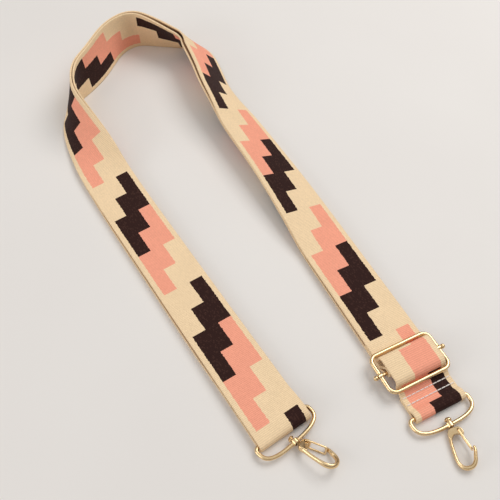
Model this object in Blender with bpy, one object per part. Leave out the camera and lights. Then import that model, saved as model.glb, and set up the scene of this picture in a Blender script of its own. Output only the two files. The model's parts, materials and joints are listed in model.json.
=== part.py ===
"""Detachable bag strap: doubled patterned webbing, a slide adjuster and two swivel snap hooks.

Metres, Z up. The strap lies on the plane Z = 0. One length of webbing starts at the sewn tab of
the right ring, goes over the adjuster's centre bar, runs up the right leg as the upper layer, round
the turn, down the left leg, round the left ring's bar, and comes back below as the lower layer to
its sewn loop on the centre bar. The webbing is modelled in stretches, each a closed solid.
"""
import math

import bmesh
import bpy
import numpy as np
from mathutils import Matrix, Vector

# Clearances
SEAT_GAP = 0.0003
TILT_GAP = 0.0008
FLOOR_GAP = 0.00005
CUT_OVERRUN = 0.0004

# Webbing
WEB_WIDTH = 0.038
WEB_THICKNESS = 0.0016
WEB_EDGE_BEVEL = 0.0003
LEG_STATION = 0.008
TURN_STATION = 0.005
THREAD_ROOM = 0.0008

# Route of the doubled strap, between the two ring bars
RUN_LENGTH = 0.893
LEFT_HEADING = 122.8
RIGHT_HEADING = -63.4
LEFT_POCKET = 0.030
# share of the curved run, heading and roll in degrees, layer spacing as a share of the thickness
ROUTE_SHARES = (
    (0.000, LEFT_HEADING, 0.0, 3.00),
    (0.140, LEFT_HEADING, 1.0, 2.75),
    (0.245, LEFT_HEADING, 2.0, 2.50),
    (0.322, 122.0, 5.0, 2.25),
    (0.374, 121.5, 34.0, 2.05),
    (0.413, 116.0, 55.0, 1.95),
    (0.452, 88.0, 77.0, 1.90),
    (0.491, 64.5, 97.0, 1.90),
    (0.530, 72.0, 102.0, 1.95),
    (0.569, 50.0, 93.5, 2.10),
    (0.608, -18.5, 78.0, 2.30),
    (0.647, -20.5, 58.0, 2.50),
    (0.686, -69.0, 44.0, 2.70),
    (0.725, -72.0, 45.0, 2.75),
    (0.764, -63.5, 39.0, 2.75),
    (0.816, -61.0, 23.0, 2.75),
    (0.868, -61.5, 19.5, 2.70),
    (0.946, RIGHT_HEADING, 10.0, 2.65),
    (1.000, RIGHT_HEADING, 0.0, 2.65),
)
TURN_SHARES = (0.345, 0.515, 0.650, 0.790)
ROUTE_SAMPLES = 900

# Rings
RING_WIRE = 0.0026
RING_SIDE_ROOM = 0.0015
RING_DEPTH = 0.013
RING_CORNER = 0.0025
RING_SQUARENESS = 3.0
RING_STEPS = 30
LEFT_RING_YAW = 9.0
LEFT_RING_SETBACK = 0.0035

# Loose fold round the left ring's bar: its inner edge bends wider and stands higher
LEFT_FOLD_WIDE_RADIUS = 0.0042
LEFT_RAMP_START = 0.024
LEFT_RAMP_END = 0.009
LEFT_RAMP_BEND = 0.015
LEFT_FOLD_STATIONS = 64

# Eye of the ring and the swivel post through it
EYE_RADIUS = 0.0024
EYE_HALF_LENGTH = 0.0017
POST_RADIUS = 0.0012
POST_PLAY = 0.0006
LEFT_SWIVEL_LEAN = 17.0
RIGHT_SWIVEL_LEAN = -11.0
WASHER_RADIUS = 0.0023
WASHER_THICKNESS = 0.0008
HEAD_RADIUS = 0.0020
HEAD_THICKNESS = 0.0010

# Hook
HOOK_REACH = 0.0278
HOOK_SPINE_OFFSET = 0.0054
HOOK_ROD_RADIUS = 0.00115
HOOK_ROD_HALF_DEPTH = 0.0018
PLATE_HALF_THICKNESS = 0.0017
NECK_LENGTH = 0.0012
LEFT_HOOK_TURN = -27.0
RIGHT_HOOK_TURN = 20.0
# sideways place as a share of the spine offset, place along as a share of the reach, rod size share
HOOK_ROD_SHARES = (
    (0.48, 0.15, 0.95),
    (0.64, 0.28, 0.88),
    (0.81, 0.43, 0.86),
    (0.94, 0.61, 0.88),
    (1.00, 0.75, 0.95),
    (0.93, 0.87, 1.06),
    (0.62, 0.96, 1.16),
    (0.10, 1.00, 1.22),
    (-0.46, 0.98, 1.16),
    (-0.88, 0.90, 1.06),
    (-1.08, 0.81, 1.00),
    (-1.27, 0.73, 0.90),
    (-1.37, 0.665, 0.78),
    (-1.37, 0.625, 0.70),
)
# outline of the plate from its neck round the gate's side and back, as the same shares
HOOK_PLATE_SHARES = (
    (-0.30, 0.060),
    (-0.74, 0.078),
    (-1.00, 0.140),
    (-1.05, 0.210),
    (-0.93, 0.262),
    (-0.62, 0.248),
    (-0.24, 0.212),
    (0.08, 0.204),
    (0.34, 0.240),
    (0.62, 0.300),
    (0.74, 0.200),
    (0.66, 0.120),
    (0.30, 0.060),
)

# Gate, a bent wire loop that straddles the plate and closes inside the nose
GATE_WIRE = 0.0012
GATE_PIVOT_SHARES = (-0.55, 0.140)
GATE_TIP_SHARE = 0.657
GATE_BEND = 0.0008
GATE_HALF_SPREAD = PLATE_HALF_THICKNESS + SEAT_GAP + GATE_WIRE / 2

# Slide adjuster
FRAME_WIRE = 0.0028
FRAME_HALF_LENGTH = 0.014
FRAME_SIDE_ROOM = 0.0022
FRAME_CORNER = 0.0050
LUG_RADIUS = 0.0020
LUG_HALF_LENGTH = 0.0016
CENTRE_BAR_RADIUS = 0.0012
TENON_RADIUS = 0.0008
BALL_RADIUS = 0.0017
SLIDER_TO_RING = 0.0323
SLIDER_TRAVEL = 0.060
HUMP_OVERHANG = 0.0015
HUMP_LEAN = 0.0006
HUMP_SHOULDER = 0.0040
ANCHOR_TAIL = 0.027
ANCHOR_RAMP = 0.0052
ANCHOR_RISE = 0.0055
FEED_MARGIN = 0.004

# Sewn tab at the right ring
TAB_START = 0.0170
TAB_POCKET = 0.0058
TAB_RAMP = 0.0035
HUMP_DROP = 0.0028

# Stitches
STITCH_LENGTH = 0.0024
STITCH_PITCH = 0.0031
STITCH_WIDTH = 0.0006
STITCH_HEIGHT = 0.0004
STITCH_SEAT = 0.0002
STITCH_MARGIN = 0.0022
TAB_ROWS = (0.0182, 0.0232)
ANCHOR_ROWS = (-0.0150, -0.0215)

WIRE_SIDES = 10
ROD_SIDES = 8
TURNED_SIDES = 16

# Sizes that follow from the ones above
HALF_WEB = WEB_THICKNESS / 2
LAYER_PITCH = WEB_THICKNESS + SEAT_GAP
RING_HALF_WIDTH = WEB_WIDTH / 2 + RING_SIDE_ROOM + RING_WIRE / 2
FRAME_HALF_WIDTH = WEB_WIDTH / 2 + FRAME_SIDE_ROOM + FRAME_WIRE / 2
RING_BAR_HEIGHT = WEB_THICKNESS + SEAT_GAP + RING_WIRE / 2
RING_FOLD_RADIUS = RING_WIRE / 2 + SEAT_GAP + HALF_WEB
SLIDER_SPACING = LAYER_PITCH + THREAD_ROOM + WEB_THICKNESS
UPPER_HEIGHT = HALF_WEB + SLIDER_SPACING
FRAME_WRAP_RADIUS = FRAME_WIRE / 2 + TILT_GAP + HALF_WEB
FRAME_HEIGHT = UPPER_HEIGHT + FRAME_WRAP_RADIUS
ANCHOR_RADIUS = CENTRE_BAR_RADIUS + SEAT_GAP + HALF_WEB
HUMP_HEIGHT = FRAME_HEIGHT + ANCHOR_RADIUS + LAYER_PITCH
HUMP_REACH = FRAME_HALF_LENGTH + HUMP_OVERHANG
SLIDER_DISTANCE = RUN_LENGTH - SLIDER_TO_RING
STRAIGHT_RUN = SLIDER_TO_RING + ANCHOR_TAIL + SLIDER_TRAVEL + 4 * FEED_MARGIN
CURVED_RUN = RUN_LENGTH - STRAIGHT_RUN
FEED_START = SLIDER_DISTANCE - ANCHOR_TAIL - SLIDER_TRAVEL - FEED_MARGIN
MOST_LEAN = math.radians(max(abs(LEFT_SWIVEL_LEAN), abs(RIGHT_SWIVEL_LEAN)))
PLATE_START = EYE_HALF_LENGTH + SEAT_GAP + EYE_RADIUS * math.sin(MOST_LEAN)
WASHER_START = EYE_HALF_LENGTH + SEAT_GAP + WASHER_RADIUS * math.sin(MOST_LEAN)

CREAM = (0.82, 0.66, 0.44)
THREAD = (0.86, 0.78, 0.68)
GOLD = (0.80, 0.62, 0.34)


def clear_scene():
    for item in list(bpy.data.objects):
        bpy.data.objects.remove(item, do_unlink=True)


def make_material(name, colour, metallic, roughness):
    material = bpy.data.materials.new(name)
    material.use_nodes = True
    shader = material.node_tree.nodes["Principled BSDF"]
    shader.inputs["Base Color"].default_value = (*colour, 1.0)
    shader.inputs["Metallic"].default_value = metallic
    shader.inputs["Roughness"].default_value = roughness
    material.diffuse_color = (*colour, 1.0)
    return material


def add_empty(name, parent, matrix):
    empty = bpy.data.objects.new(name, None)
    bpy.context.collection.objects.link(empty)
    empty.parent = parent
    empty.matrix_local = matrix
    return empty


def add_solid(name, mesh_data, parent, material, smooth):
    """Makes a mesh object from (vertices, faces) with its faces turned outward."""
    vertices, faces = mesh_data
    mesh = bpy.data.meshes.new(name)
    mesh.from_pydata([tuple(v) for v in vertices], [], faces)
    tidy = bmesh.new()
    tidy.from_mesh(mesh)
    bmesh.ops.recalc_face_normals(tidy, faces=tidy.faces)
    tidy.to_mesh(mesh)
    tidy.free()
    solid = bpy.data.objects.new(name, mesh)
    bpy.context.collection.objects.link(solid)
    solid.parent = parent
    mesh.materials.append(material)
    if smooth:
        mesh.shade_smooth()
        mesh.set_sharp_from_angle(angle=math.radians(40))
    return solid


def combine(target, tool, operation):
    """Applies one exact Boolean of the tool to the target and removes the tool."""
    modifier = target.modifiers.new(operation, "BOOLEAN")
    modifier.operation = operation
    modifier.solver = "EXACT"
    modifier.object = tool
    tool.display_type = "WIRE"
    tool.hide_render = True
    bpy.context.view_layer.update()
    graph = bpy.context.evaluated_depsgraph_get()
    result = bpy.data.meshes.new_from_object(target.evaluated_get(graph))
    target.modifiers.clear()
    target.data = result
    bpy.data.objects.remove(tool, do_unlink=True)
    return target


def smooth_values(shares, values, wanted):
    """Monotone cubic through (shares, values), read at the wanted shares."""
    x = np.asarray(shares, float)
    y = np.asarray(values, float)
    step = np.diff(x)
    slope = np.diff(y) / step
    tangent = np.zeros(len(x))
    for k in range(1, len(x) - 1):
        if slope[k - 1] * slope[k] > 0:
            before = 2 * step[k] + step[k - 1]
            after = step[k] + 2 * step[k - 1]
            tangent[k] = (before + after) / (before / slope[k - 1] + after / slope[k])
    spot = np.clip(wanted, x[0], x[-1])
    cell = np.clip(np.searchsorted(x, spot, side="right") - 1, 0, len(step) - 1)
    t = (spot - x[cell]) / step[cell]
    start = (1 + 2 * t) * (1 - t) ** 2 * y[cell] + t * (1 - t) ** 2 * step[cell] * tangent[cell]
    end = t * t * (3 - 2 * t) * y[cell + 1] + t * t * (t - 1) * step[cell] * tangent[cell + 1]
    return start + end


def strap_route():
    """Centre line of the doubled strap with its width and face directions and layer spacing."""
    table = np.array(ROUTE_SHARES)
    distance = np.linspace(0.0, RUN_LENGTH, ROUTE_SAMPLES)
    share = distance / CURVED_RUN
    heading = np.radians(smooth_values(table[:, 0], table[:, 1], share))
    roll = np.radians(smooth_values(table[:, 0], table[:, 2], share))
    spacing = smooth_values(table[:, 0], table[:, 3], share) * WEB_THICKNESS
    spacing = np.where(share < 1, spacing, SLIDER_SPACING)
    height = WEB_WIDTH / 2 * np.sin(roll) + (spacing + WEB_THICKNESS) / 2 * np.abs(np.cos(roll))
    climb = np.gradient(height, distance)
    level = np.sqrt(1 - climb ** 2)
    along = np.stack([np.cos(heading) * level, np.sin(heading) * level], axis=1)
    moves = (along[1:] + along[:-1]) / 2 * np.diff(distance)[:, None]
    plan = np.vstack([[0.0, 0.0], np.cumsum(moves, axis=0)])
    centre = np.column_stack([plan, height])
    forward = np.column_stack([along, climb])
    inward = np.column_stack([np.sin(heading), -np.cos(heading), np.zeros(len(heading))])
    upward = np.cross(inward, forward)
    width = np.cos(roll)[:, None] * inward + np.sin(roll)[:, None] * upward
    face = np.cross(width, forward)
    return {"distance": distance, "centre": centre, "width": width, "face": face,
            "spacing": spacing, "heading": heading}


def route_at(route, wanted):
    """Centre, width direction, face direction and spacing at the wanted distances."""
    def read(values):
        return np.interp(wanted, route["distance"], values)

    centre = np.column_stack([read(route["centre"][:, k]) for k in range(3)])
    width = np.column_stack([read(route["width"][:, k]) for k in range(3)])
    face = np.column_stack([read(route["face"][:, k]) for k in range(3)])
    width /= np.linalg.norm(width, axis=1)[:, None]
    face /= np.linalg.norm(face, axis=1)[:, None]
    return centre, width, face, read(route["spacing"])


def web_mesh(centres, widths, faces_up):
    """Closed strip of webbing with bevelled edges through the given stations."""
    half_width = WEB_WIDTH / 2
    inner_width = half_width - WEB_EDGE_BEVEL
    inner_face = HALF_WEB - WEB_EDGE_BEVEL
    section = [(0.0, HALF_WEB), (inner_width, HALF_WEB), (half_width, inner_face),
               (half_width, -inner_face), (inner_width, -HALF_WEB), (0.0, -HALF_WEB),
               (-inner_width, -HALF_WEB), (-half_width, -inner_face),
               (-half_width, inner_face), (-inner_width, HALF_WEB)]
    rings = [[centre + across * width + up * face for across, up in section]
             for centre, width, face in zip(centres, widths, faces_up)]
    return bridge_rings(rings, closed=False)


def bridge_rings(rings, closed):
    """Vertices and faces of a tube through rings of points, capped unless it closes on itself."""
    count = len(rings[0])
    vertices = [point for ring in rings for point in ring]
    faces = []
    spans = len(rings) if closed else len(rings) - 1
    for k in range(spans):
        here = k * count
        there = (k + 1) % len(rings) * count
        for j in range(count):
            after = (j + 1) % count
            faces.append((here + j, here + after, there + after, there + j))
    if not closed:
        last = (len(rings) - 1) * count
        faces.append(tuple(range(count - 1, -1, -1)))
        faces.append(tuple(range(last, last + count)))
    return vertices, faces


def route_web(route, start, end, layer, station):
    """Webbing between two distances: layer +1 is the upper or outer one, -1 the other."""
    count = max(3, math.ceil((end - start) / station) + 1)
    wanted = np.linspace(start + SEAT_GAP / 2, end - SEAT_GAP / 2, count)
    centre, width, face, spacing = route_at(route, wanted)
    return web_mesh(centre + face * (layer * spacing / 2)[:, None], width, face)


def fillet_path(corners, radii, arc_step=24.0):
    """Path through corner points with each inner corner rounded to its radius."""
    points = [Vector(corners[0])]
    for k in range(1, len(corners) - 1):
        here = Vector(corners[k])
        back = (Vector(corners[k - 1]) - here).normalized()
        ahead = (Vector(corners[k + 1]) - here).normalized()
        half = back.angle(ahead) / 2
        setback = radii[k - 1] / math.tan(half)
        centre = here + (back + ahead).normalized() * (radii[k - 1] / math.sin(half))
        start = here + back * setback - centre
        end = here + ahead * setback - centre
        sweep = math.pi - 2 * half
        steps = max(2, math.ceil(math.degrees(sweep) / arc_step))
        for j in range(steps + 1):
            turn = sweep * j / steps
            mix = start * math.sin(sweep - turn) + end * math.sin(turn)
            points.append(centre + mix / math.sin(sweep))
    points.append(Vector(corners[-1]))
    return points


def trimmed(points, start_trim, end_trim):
    """The path with its first and last points moved inward along it."""
    path = [p.copy() for p in points]
    path[0] += (path[1] - path[0]).normalized() * start_trim
    path[-1] += (path[-2] - path[-1]).normalized() * end_trim
    return path


def spaced(points, nearest):
    """The path without the inner points that nearly coincide with the one before."""
    kept = [points[0]]
    for point in points[1:-1]:
        if (point - kept[-1]).length > nearest and (point - points[-1]).length > nearest:
            kept.append(point)
    return kept + [points[-1]]


def profile_web(path):
    """Webbing bent along a path in its own upright plane: Y along the strap, Z up, X across."""
    profile = spaced(path, SEAT_GAP / 6)
    count = len(profile)
    centres, ups = [], []
    for k in range(count):
        ahead = profile[min(k + 1, count - 1)] - profile[max(k - 1, 0)]
        ahead.normalize()
        centres.append(np.array(profile[k]))
        ups.append(np.array((0.0, -ahead.z, ahead.y)))
    widths = [np.array((1.0, 0.0, 0.0))] * count
    return web_mesh(centres, widths, ups)


def even_path(points, count):
    """The same path with the given number of points at even steps."""
    rows = np.array([tuple(point) for point in points])
    steps = np.linalg.norm(np.diff(rows, axis=0), axis=1)
    places = np.concatenate([[0.0], np.cumsum(steps)])
    wanted = np.linspace(0.0, places[-1], count)
    return np.column_stack([np.interp(wanted, places, rows[:, k]) for k in range(3)])


def left_fold_edge(x, radius, spacing):
    """Path of one edge of the left fold. A wider bend reaches less far, so both edges are as long."""
    start = HALF_WEB + spacing
    high = HALF_WEB + 2 * radius
    reach = radius - math.pi / 2 * (radius - RING_FOLD_RADIUS)
    edge = fillet_path(
        [(x, -LEFT_POCKET, start), (x, -LEFT_RAMP_START, start), (x, -LEFT_RAMP_END, high),
         (x, reach, high), (x, reach, HALF_WEB), (x, -LEFT_POCKET, HALF_WEB)],
        [LEFT_RAMP_BEND, LEFT_RAMP_BEND, radius * 0.999, radius * 0.999], arc_step=12.0)
    return even_path(trimmed(edge, SEAT_GAP / 2, SEAT_GAP / 2), LEFT_FOLD_STATIONS)


def left_fold_mesh(spacing):
    """Webbing round the left ring's bar, ruled from its outer edge to its inner one."""
    outer = left_fold_edge(WEB_WIDTH / 2, RING_FOLD_RADIUS, spacing)
    inner = left_fold_edge(-WEB_WIDTH / 2, LEFT_FOLD_WIDE_RADIUS, spacing)
    centres = (outer + inner) / 2
    widths = outer - inner
    widths /= np.linalg.norm(widths, axis=1)[:, None]
    ups = np.cross(widths, np.gradient(centres, axis=0))
    ups /= np.linalg.norm(ups, axis=1)[:, None]
    return web_mesh(centres, widths, ups)


def smooth_curve(points, steps):
    """Catmull-Rom curve through rows of numbers, with the given steps between rows."""
    rows = np.asarray(points, float)
    ends = np.vstack([2 * rows[0] - rows[1], rows, 2 * rows[-1] - rows[-2]])
    curve = []
    for k in range(1, len(ends) - 2):
        before, here, after, beyond = ends[k - 1:k + 3]
        for j in range(steps):
            t = j / steps
            curve.append(0.5 * (2 * here + (after - before) * t
                                + (2 * before - 5 * here + 4 * after - beyond) * t * t
                                + (3 * here - before - 3 * after + beyond) * t ** 3))
    curve.append(rows[-1])
    return np.array(curve)


def sweep_mesh(points, flat_radii, deep_radii, normal, sides, closed):
    """Rod along a path: flat radius across it, deep radius along the carried normal."""
    path = [Vector(p) for p in points]
    count = len(path)
    carried = Vector(normal)
    rings = []
    for k in range(count):
        if closed:
            ahead = path[(k + 1) % count] - path[k - 1]
        else:
            ahead = path[min(k + 1, count - 1)] - path[max(k - 1, 0)]
        ahead.normalize()
        carried = (carried - ahead * carried.dot(ahead)).normalized()
        across = ahead.cross(carried)
        ring = []
        for j in range(sides):
            angle = 2 * math.pi * (j + 0.5) / sides
            ring.append(path[k] + across * (flat_radii[k] * math.cos(angle))
                        + carried * (deep_radii[k] * math.sin(angle)))
        rings.append(ring)
    return bridge_rings(rings, closed)


def turned_mesh(profile, axis, closed=False):
    """Solid turned about an axis through the origin, from (place along, radius) points."""
    along = Vector(axis).normalized()
    side = along.orthogonal().normalized()
    other = along.cross(side)
    rings = []
    for place, radius in profile:
        ring = []
        for j in range(TURNED_SIDES):
            angle = 2 * math.pi * j / TURNED_SIDES
            out = side * math.cos(angle) + other * math.sin(angle)
            ring.append(along * place + out * radius)
        rings.append(ring)
    return bridge_rings(rings, closed)


def moved(mesh_data, offset):
    vertices, faces = mesh_data
    shift = Vector(offset)
    return [Vector(v) + shift for v in vertices], faces


def ring_path():
    """Closed D outline in its own plane: the bar on the X axis, the bow towards +Y."""
    rise = RING_DEPTH - RING_CORNER
    power = 2 / RING_SQUARENESS
    points = []
    for k in range(RING_STEPS + 1):
        angle = math.pi * k / RING_STEPS
        sideways = math.copysign(abs(math.cos(angle)) ** power, math.cos(angle))
        upward = math.sin(angle) ** power if 0 < k < RING_STEPS else 0.0
        points.append((RING_HALF_WIDTH * sideways, RING_CORNER + rise * upward, 0.0))
    corner = RING_HALF_WIDTH - RING_CORNER
    for centre, first in ((-corner, math.pi), (corner, 1.5 * math.pi)):
        for k in range(1, 4):
            angle = first + math.pi / 2 * k / 4
            points.append((centre + RING_CORNER * math.cos(angle),
                           RING_CORNER + RING_CORNER * math.sin(angle), 0.0))
        if centre < 0:
            points.append((-corner, 0.0, 0.0))
            points.append((corner, 0.0, 0.0))
    return points


def make_ring(name, parent, material):
    """Ring with a plain eye in the middle of its bow."""
    path = ring_path()
    radii = [RING_WIRE / 2] * len(path)
    wire = sweep_mesh(path, radii, radii, (0, 0, 1), WIRE_SIDES, closed=True)
    ring = add_solid(name, wire, parent, material, smooth=True)
    crown = (0.0, RING_DEPTH, 0.0)
    barrel = turned_mesh(((-EYE_HALF_LENGTH, EYE_RADIUS), (EYE_HALF_LENGTH, EYE_RADIUS)), (0, 1, 0))
    combine(ring, add_solid("eye_tool", moved(barrel, crown), parent, material, False), "UNION")
    reach = EYE_HALF_LENGTH + CUT_OVERRUN
    hole_radius = POST_RADIUS + POST_PLAY
    hole = turned_mesh(((-reach, hole_radius), (reach, hole_radius)), (0, 1, 0))
    combine(ring, add_solid("hole_tool", moved(hole, crown), parent, material, False), "DIFFERENCE")
    finish_smooth(ring)
    return ring


def finish_smooth(solid):
    solid.data.shade_smooth()
    solid.data.set_sharp_from_angle(angle=math.radians(40))


def hook_point(shares):
    return shares[0] * HOOK_SPINE_OFFSET, shares[1] * HOOK_REACH


def hook_rod_mesh():
    rows = smooth_curve([(*hook_point(row), row[2]) for row in HOOK_ROD_SHARES], 2)
    points = [(x, y, 0.0) for x, y, size in rows]
    flat = [HOOK_ROD_RADIUS * size for x, y, size in rows]
    deep = [HOOK_ROD_HALF_DEPTH * min(size, 1.0) for x, y, size in rows]
    return sweep_mesh(points, flat, deep, (0, 0, 1), ROD_SIDES, closed=False)


def hook_plate_mesh():
    outline = [hook_point(row) for row in HOOK_PLATE_SHARES]
    shift = PLATE_START - min(y for x, y in outline)
    rings = [[Vector((x, y + shift, z)) for x, y in outline]
             for z in (-PLATE_HALF_THICKNESS, PLATE_HALF_THICKNESS)]
    return bridge_rings(rings, closed=False)


def gate_pivot():
    x, y = hook_point(GATE_PIVOT_SHARES)
    return Vector((x, y + PLATE_START - HOOK_PLATE_SHARES[0][1] * HOOK_REACH, 0.0))


def make_hook(name, parent, material):
    """Hook body: rod and nose, plate, post through the ring's eye and the post's spread head."""
    hook = add_solid(name, hook_rod_mesh(), parent, material, True)
    combine(hook, add_solid("plate_tool", hook_plate_mesh(), parent, material, False), "UNION")
    head_start = WASHER_START + WASHER_THICKNESS + SEAT_GAP
    post = turned_mesh(((-head_start - HEAD_THICKNESS, HEAD_RADIUS / 2),
                        (-head_start - HEAD_THICKNESS / 2, HEAD_RADIUS * 0.9),
                        (-head_start, HEAD_RADIUS),
                        (-head_start, POST_RADIUS),
                        (PLATE_START + NECK_LENGTH, POST_RADIUS)), (0, 1, 0))
    combine(hook, add_solid("post_tool", post, parent, material, False), "UNION")
    reach = PLATE_HALF_THICKNESS + CUT_OVERRUN
    hole_radius = GATE_WIRE / 2 + SEAT_GAP
    hole = turned_mesh(((-reach, hole_radius), (reach, hole_radius)), (0, 0, 1))
    combine(hook, add_solid("pivot_tool", moved(hole, gate_pivot()), parent, material, False),
            "DIFFERENCE")
    finish_smooth(hook)
    return hook


def gate_tip():
    """Middle of the gate's far end, which rests against the inside of the nose."""
    nose_x, nose_y = hook_point(HOOK_ROD_SHARES[-1])
    nose_half = HOOK_ROD_RADIUS * HOOK_ROD_SHARES[-2][2]
    return Vector((nose_x + nose_half + SEAT_GAP + GATE_WIRE / 2, GATE_TIP_SHARE * HOOK_REACH, 0.0))


def gate_mesh():
    """Gate wire with its pivot at the origin: in at one side, round the nose and back."""
    arm = gate_tip() - gate_pivot()
    inside = Vector((0.0, 0.0, GATE_WIRE / 2))
    spread = Vector((0.0, 0.0, GATE_HALF_SPREAD))
    corners = [inside, spread, arm + spread, arm - spread, -spread, -inside]
    path = fillet_path(corners, [GATE_BEND, GATE_BEND, GATE_BEND, GATE_BEND], arc_step=30.0)
    radii = [GATE_WIRE / 2] * len(path)
    return sweep_mesh(path, radii, radii, (1, 0, 0), ROD_SIDES, closed=False)


def washer_mesh():
    inner = POST_RADIUS + SEAT_GAP
    near = -WASHER_START
    far = near - WASHER_THICKNESS
    profile = ((near, inner), (near, WASHER_RADIUS), (far, WASHER_RADIUS), (far, inner))
    return turned_mesh(profile, (0, 1, 0), closed=True)


def make_snap_set(side, base, yaw, lean, turn, material):
    """Ring, hook, washer and gate of one end. The base's Y axis points away from the webbing."""
    ring_frame = add_empty(side + "_ring_hinge", base,
                           Matrix.Rotation(math.radians(yaw), 4, "Z")
                           @ Matrix.Rotation(resting_tilt(lean, turn), 4, "X"))
    make_ring(side + "_d_ring", ring_frame, material)
    swivel = Matrix.Translation((0.0, RING_DEPTH, 0.0)) @ Matrix.Rotation(math.radians(lean), 4, "Z")
    swivel = swivel @ Matrix.Rotation(math.radians(turn), 4, "Y")
    swivel_frame = add_empty(side + "_hook_swivel", ring_frame, swivel)
    make_hook(side + "_hook_body", swivel_frame, material)
    add_solid(side + "_swivel_washer", washer_mesh(), swivel_frame, material, True)
    gate_frame = add_empty(side + "_gate_hinge", swivel_frame, Matrix.Translation(gate_pivot()))
    add_solid(side + "_gate_wire", gate_mesh(), gate_frame, material, True)


def low_places():
    """Places of the hook and gate in the swivel's frame, with their half sizes across and deep."""
    places = [(*hook_point(row), 0.0, HOOK_ROD_RADIUS * row[2], HOOK_ROD_HALF_DEPTH * min(row[2], 1.0))
              for row in HOOK_ROD_SHARES]
    half_wire = GATE_WIRE / 2
    for place in (gate_pivot(), gate_tip()):
        places.append((place.x, place.y, GATE_HALF_SPREAD, half_wire, half_wire))
    return places


def resting_tilt(lean, turn):
    """Tilt of a ring that brings the lowest place of its hook down to the floor."""
    lean, turn = math.radians(lean), math.radians(turn)
    tilts = []
    for x, y, z, across, deep in low_places():
        drop = x * math.sin(turn) + z * math.cos(turn)
        drop += math.hypot(across * math.sin(turn), deep * math.cos(turn))
        along = RING_DEPTH + x * math.cos(turn) * math.sin(lean) + y * math.cos(lean)
        lift = math.asin((FLOOR_GAP - RING_BAR_HEIGHT) / math.hypot(drop, along))
        tilts.append(math.atan2(drop, along) + lift)
    return max(tilts)


def frame_path():
    """Closed rounded rectangle of the adjuster's frame, with X across the strap."""
    points = []
    centre_x = FRAME_HALF_WIDTH - FRAME_CORNER
    centre_y = FRAME_HALF_LENGTH - FRAME_CORNER
    for quarter, (sx, sy) in enumerate(((1, 1), (-1, 1), (-1, -1), (1, -1))):
        for k in range(6):
            angle = math.pi / 2 * (quarter + k / 5)
            points.append((sx * centre_x + FRAME_CORNER * math.cos(angle),
                           sy * centre_y + FRAME_CORNER * math.sin(angle), 0.0))
        if quarter in (0, 2):
            points.append((0.0, sy * FRAME_HALF_LENGTH, 0.0))
    return points


def make_frame(parent, material):
    path = frame_path()
    radii = [FRAME_WIRE / 2] * len(path)
    wire = sweep_mesh(path, radii, radii, (0, 0, 1), WIRE_SIDES, closed=True)
    frame = add_solid("slider_frame", wire, parent, material, True)
    lug = turned_mesh(((-LUG_HALF_LENGTH, LUG_RADIUS), (LUG_HALF_LENGTH, LUG_RADIUS)), (1, 0, 0))
    reach = LUG_HALF_LENGTH + CUT_OVERRUN
    bore = TENON_RADIUS + SEAT_GAP
    hole = turned_mesh(((-reach, bore), (reach, bore)), (1, 0, 0))
    for side in (-1, 1):
        place = (side * FRAME_HALF_WIDTH, 0.0, 0.0)
        combine(frame, add_solid("lug_tool", moved(lug, place), parent, material, False), "UNION")
        combine(frame, add_solid("bore_tool", moved(hole, place), parent, material, False),
                "DIFFERENCE")
    finish_smooth(frame)
    return frame


def centre_bar_mesh():
    """Centre bar with a thin tenon through each lug and a spread ball end outside it."""
    shoulder = FRAME_HALF_WIDTH - LUG_HALF_LENGTH - SEAT_GAP
    outside = FRAME_HALF_WIDTH + LUG_HALF_LENGTH + SEAT_GAP
    half = [(shoulder, CENTRE_BAR_RADIUS), (shoulder, TENON_RADIUS), (outside, TENON_RADIUS)]
    for angle in (35, 65, 90, 120, 150):
        turn = math.radians(angle)
        place = outside + BALL_RADIUS * (math.cos(math.radians(35)) - math.cos(turn))
        half.append((place, BALL_RADIUS * math.sin(turn)))
    return turned_mesh([(-x, r) for x, r in reversed(half)] + half, (1, 0, 0))


def hump_profiles():
    """Paths of the webbing over the centre bar and of the tab, in the adjuster's Y and Z."""
    wall = FRAME_HALF_LENGTH - FRAME_WRAP_RADIUS
    slope_start = FRAME_HALF_LENGTH + SEAT_GAP
    slope_end = slope_start + HUMP_DROP
    tab_height = HALF_WEB + LAYER_PITCH
    split = HUMP_REACH
    split_height = UPPER_HEIGHT + (tab_height - UPPER_HEIGHT) * (split - slope_start) / HUMP_DROP
    fold_top = RING_BAR_HEIGHT + RING_FOLD_RADIUS
    fold_end = SLIDER_TO_RING + RING_FOLD_RADIUS
    pocket = SLIDER_TO_RING - TAB_POCKET
    hump = fillet_path(
        [(0, -HUMP_REACH, UPPER_HEIGHT), (0, -wall, UPPER_HEIGHT), (0, -wall + HUMP_LEAN, HUMP_HEIGHT),
         (0, wall - HUMP_LEAN, HUMP_HEIGHT), (0, wall, UPPER_HEIGHT),
         (0, slope_start, UPPER_HEIGHT), (0, split, split_height)],
        [FRAME_WRAP_RADIUS * 0.95, HUMP_SHOULDER, HUMP_SHOULDER,
         FRAME_WRAP_RADIUS * 0.9, SEAT_GAP])
    tab = fillet_path(
        [(0, split, split_height), (0, slope_end, tab_height), (0, pocket, tab_height),
         (0, pocket + TAB_RAMP, fold_top), (0, fold_end, fold_top), (0, fold_end, HALF_WEB),
         (0, TAB_START, HALF_WEB)],
        [LAYER_PITCH, LAYER_PITCH, LAYER_PITCH, RING_FOLD_RADIUS * 0.999,
         RING_FOLD_RADIUS * 0.999])
    return hump, tab


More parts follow.
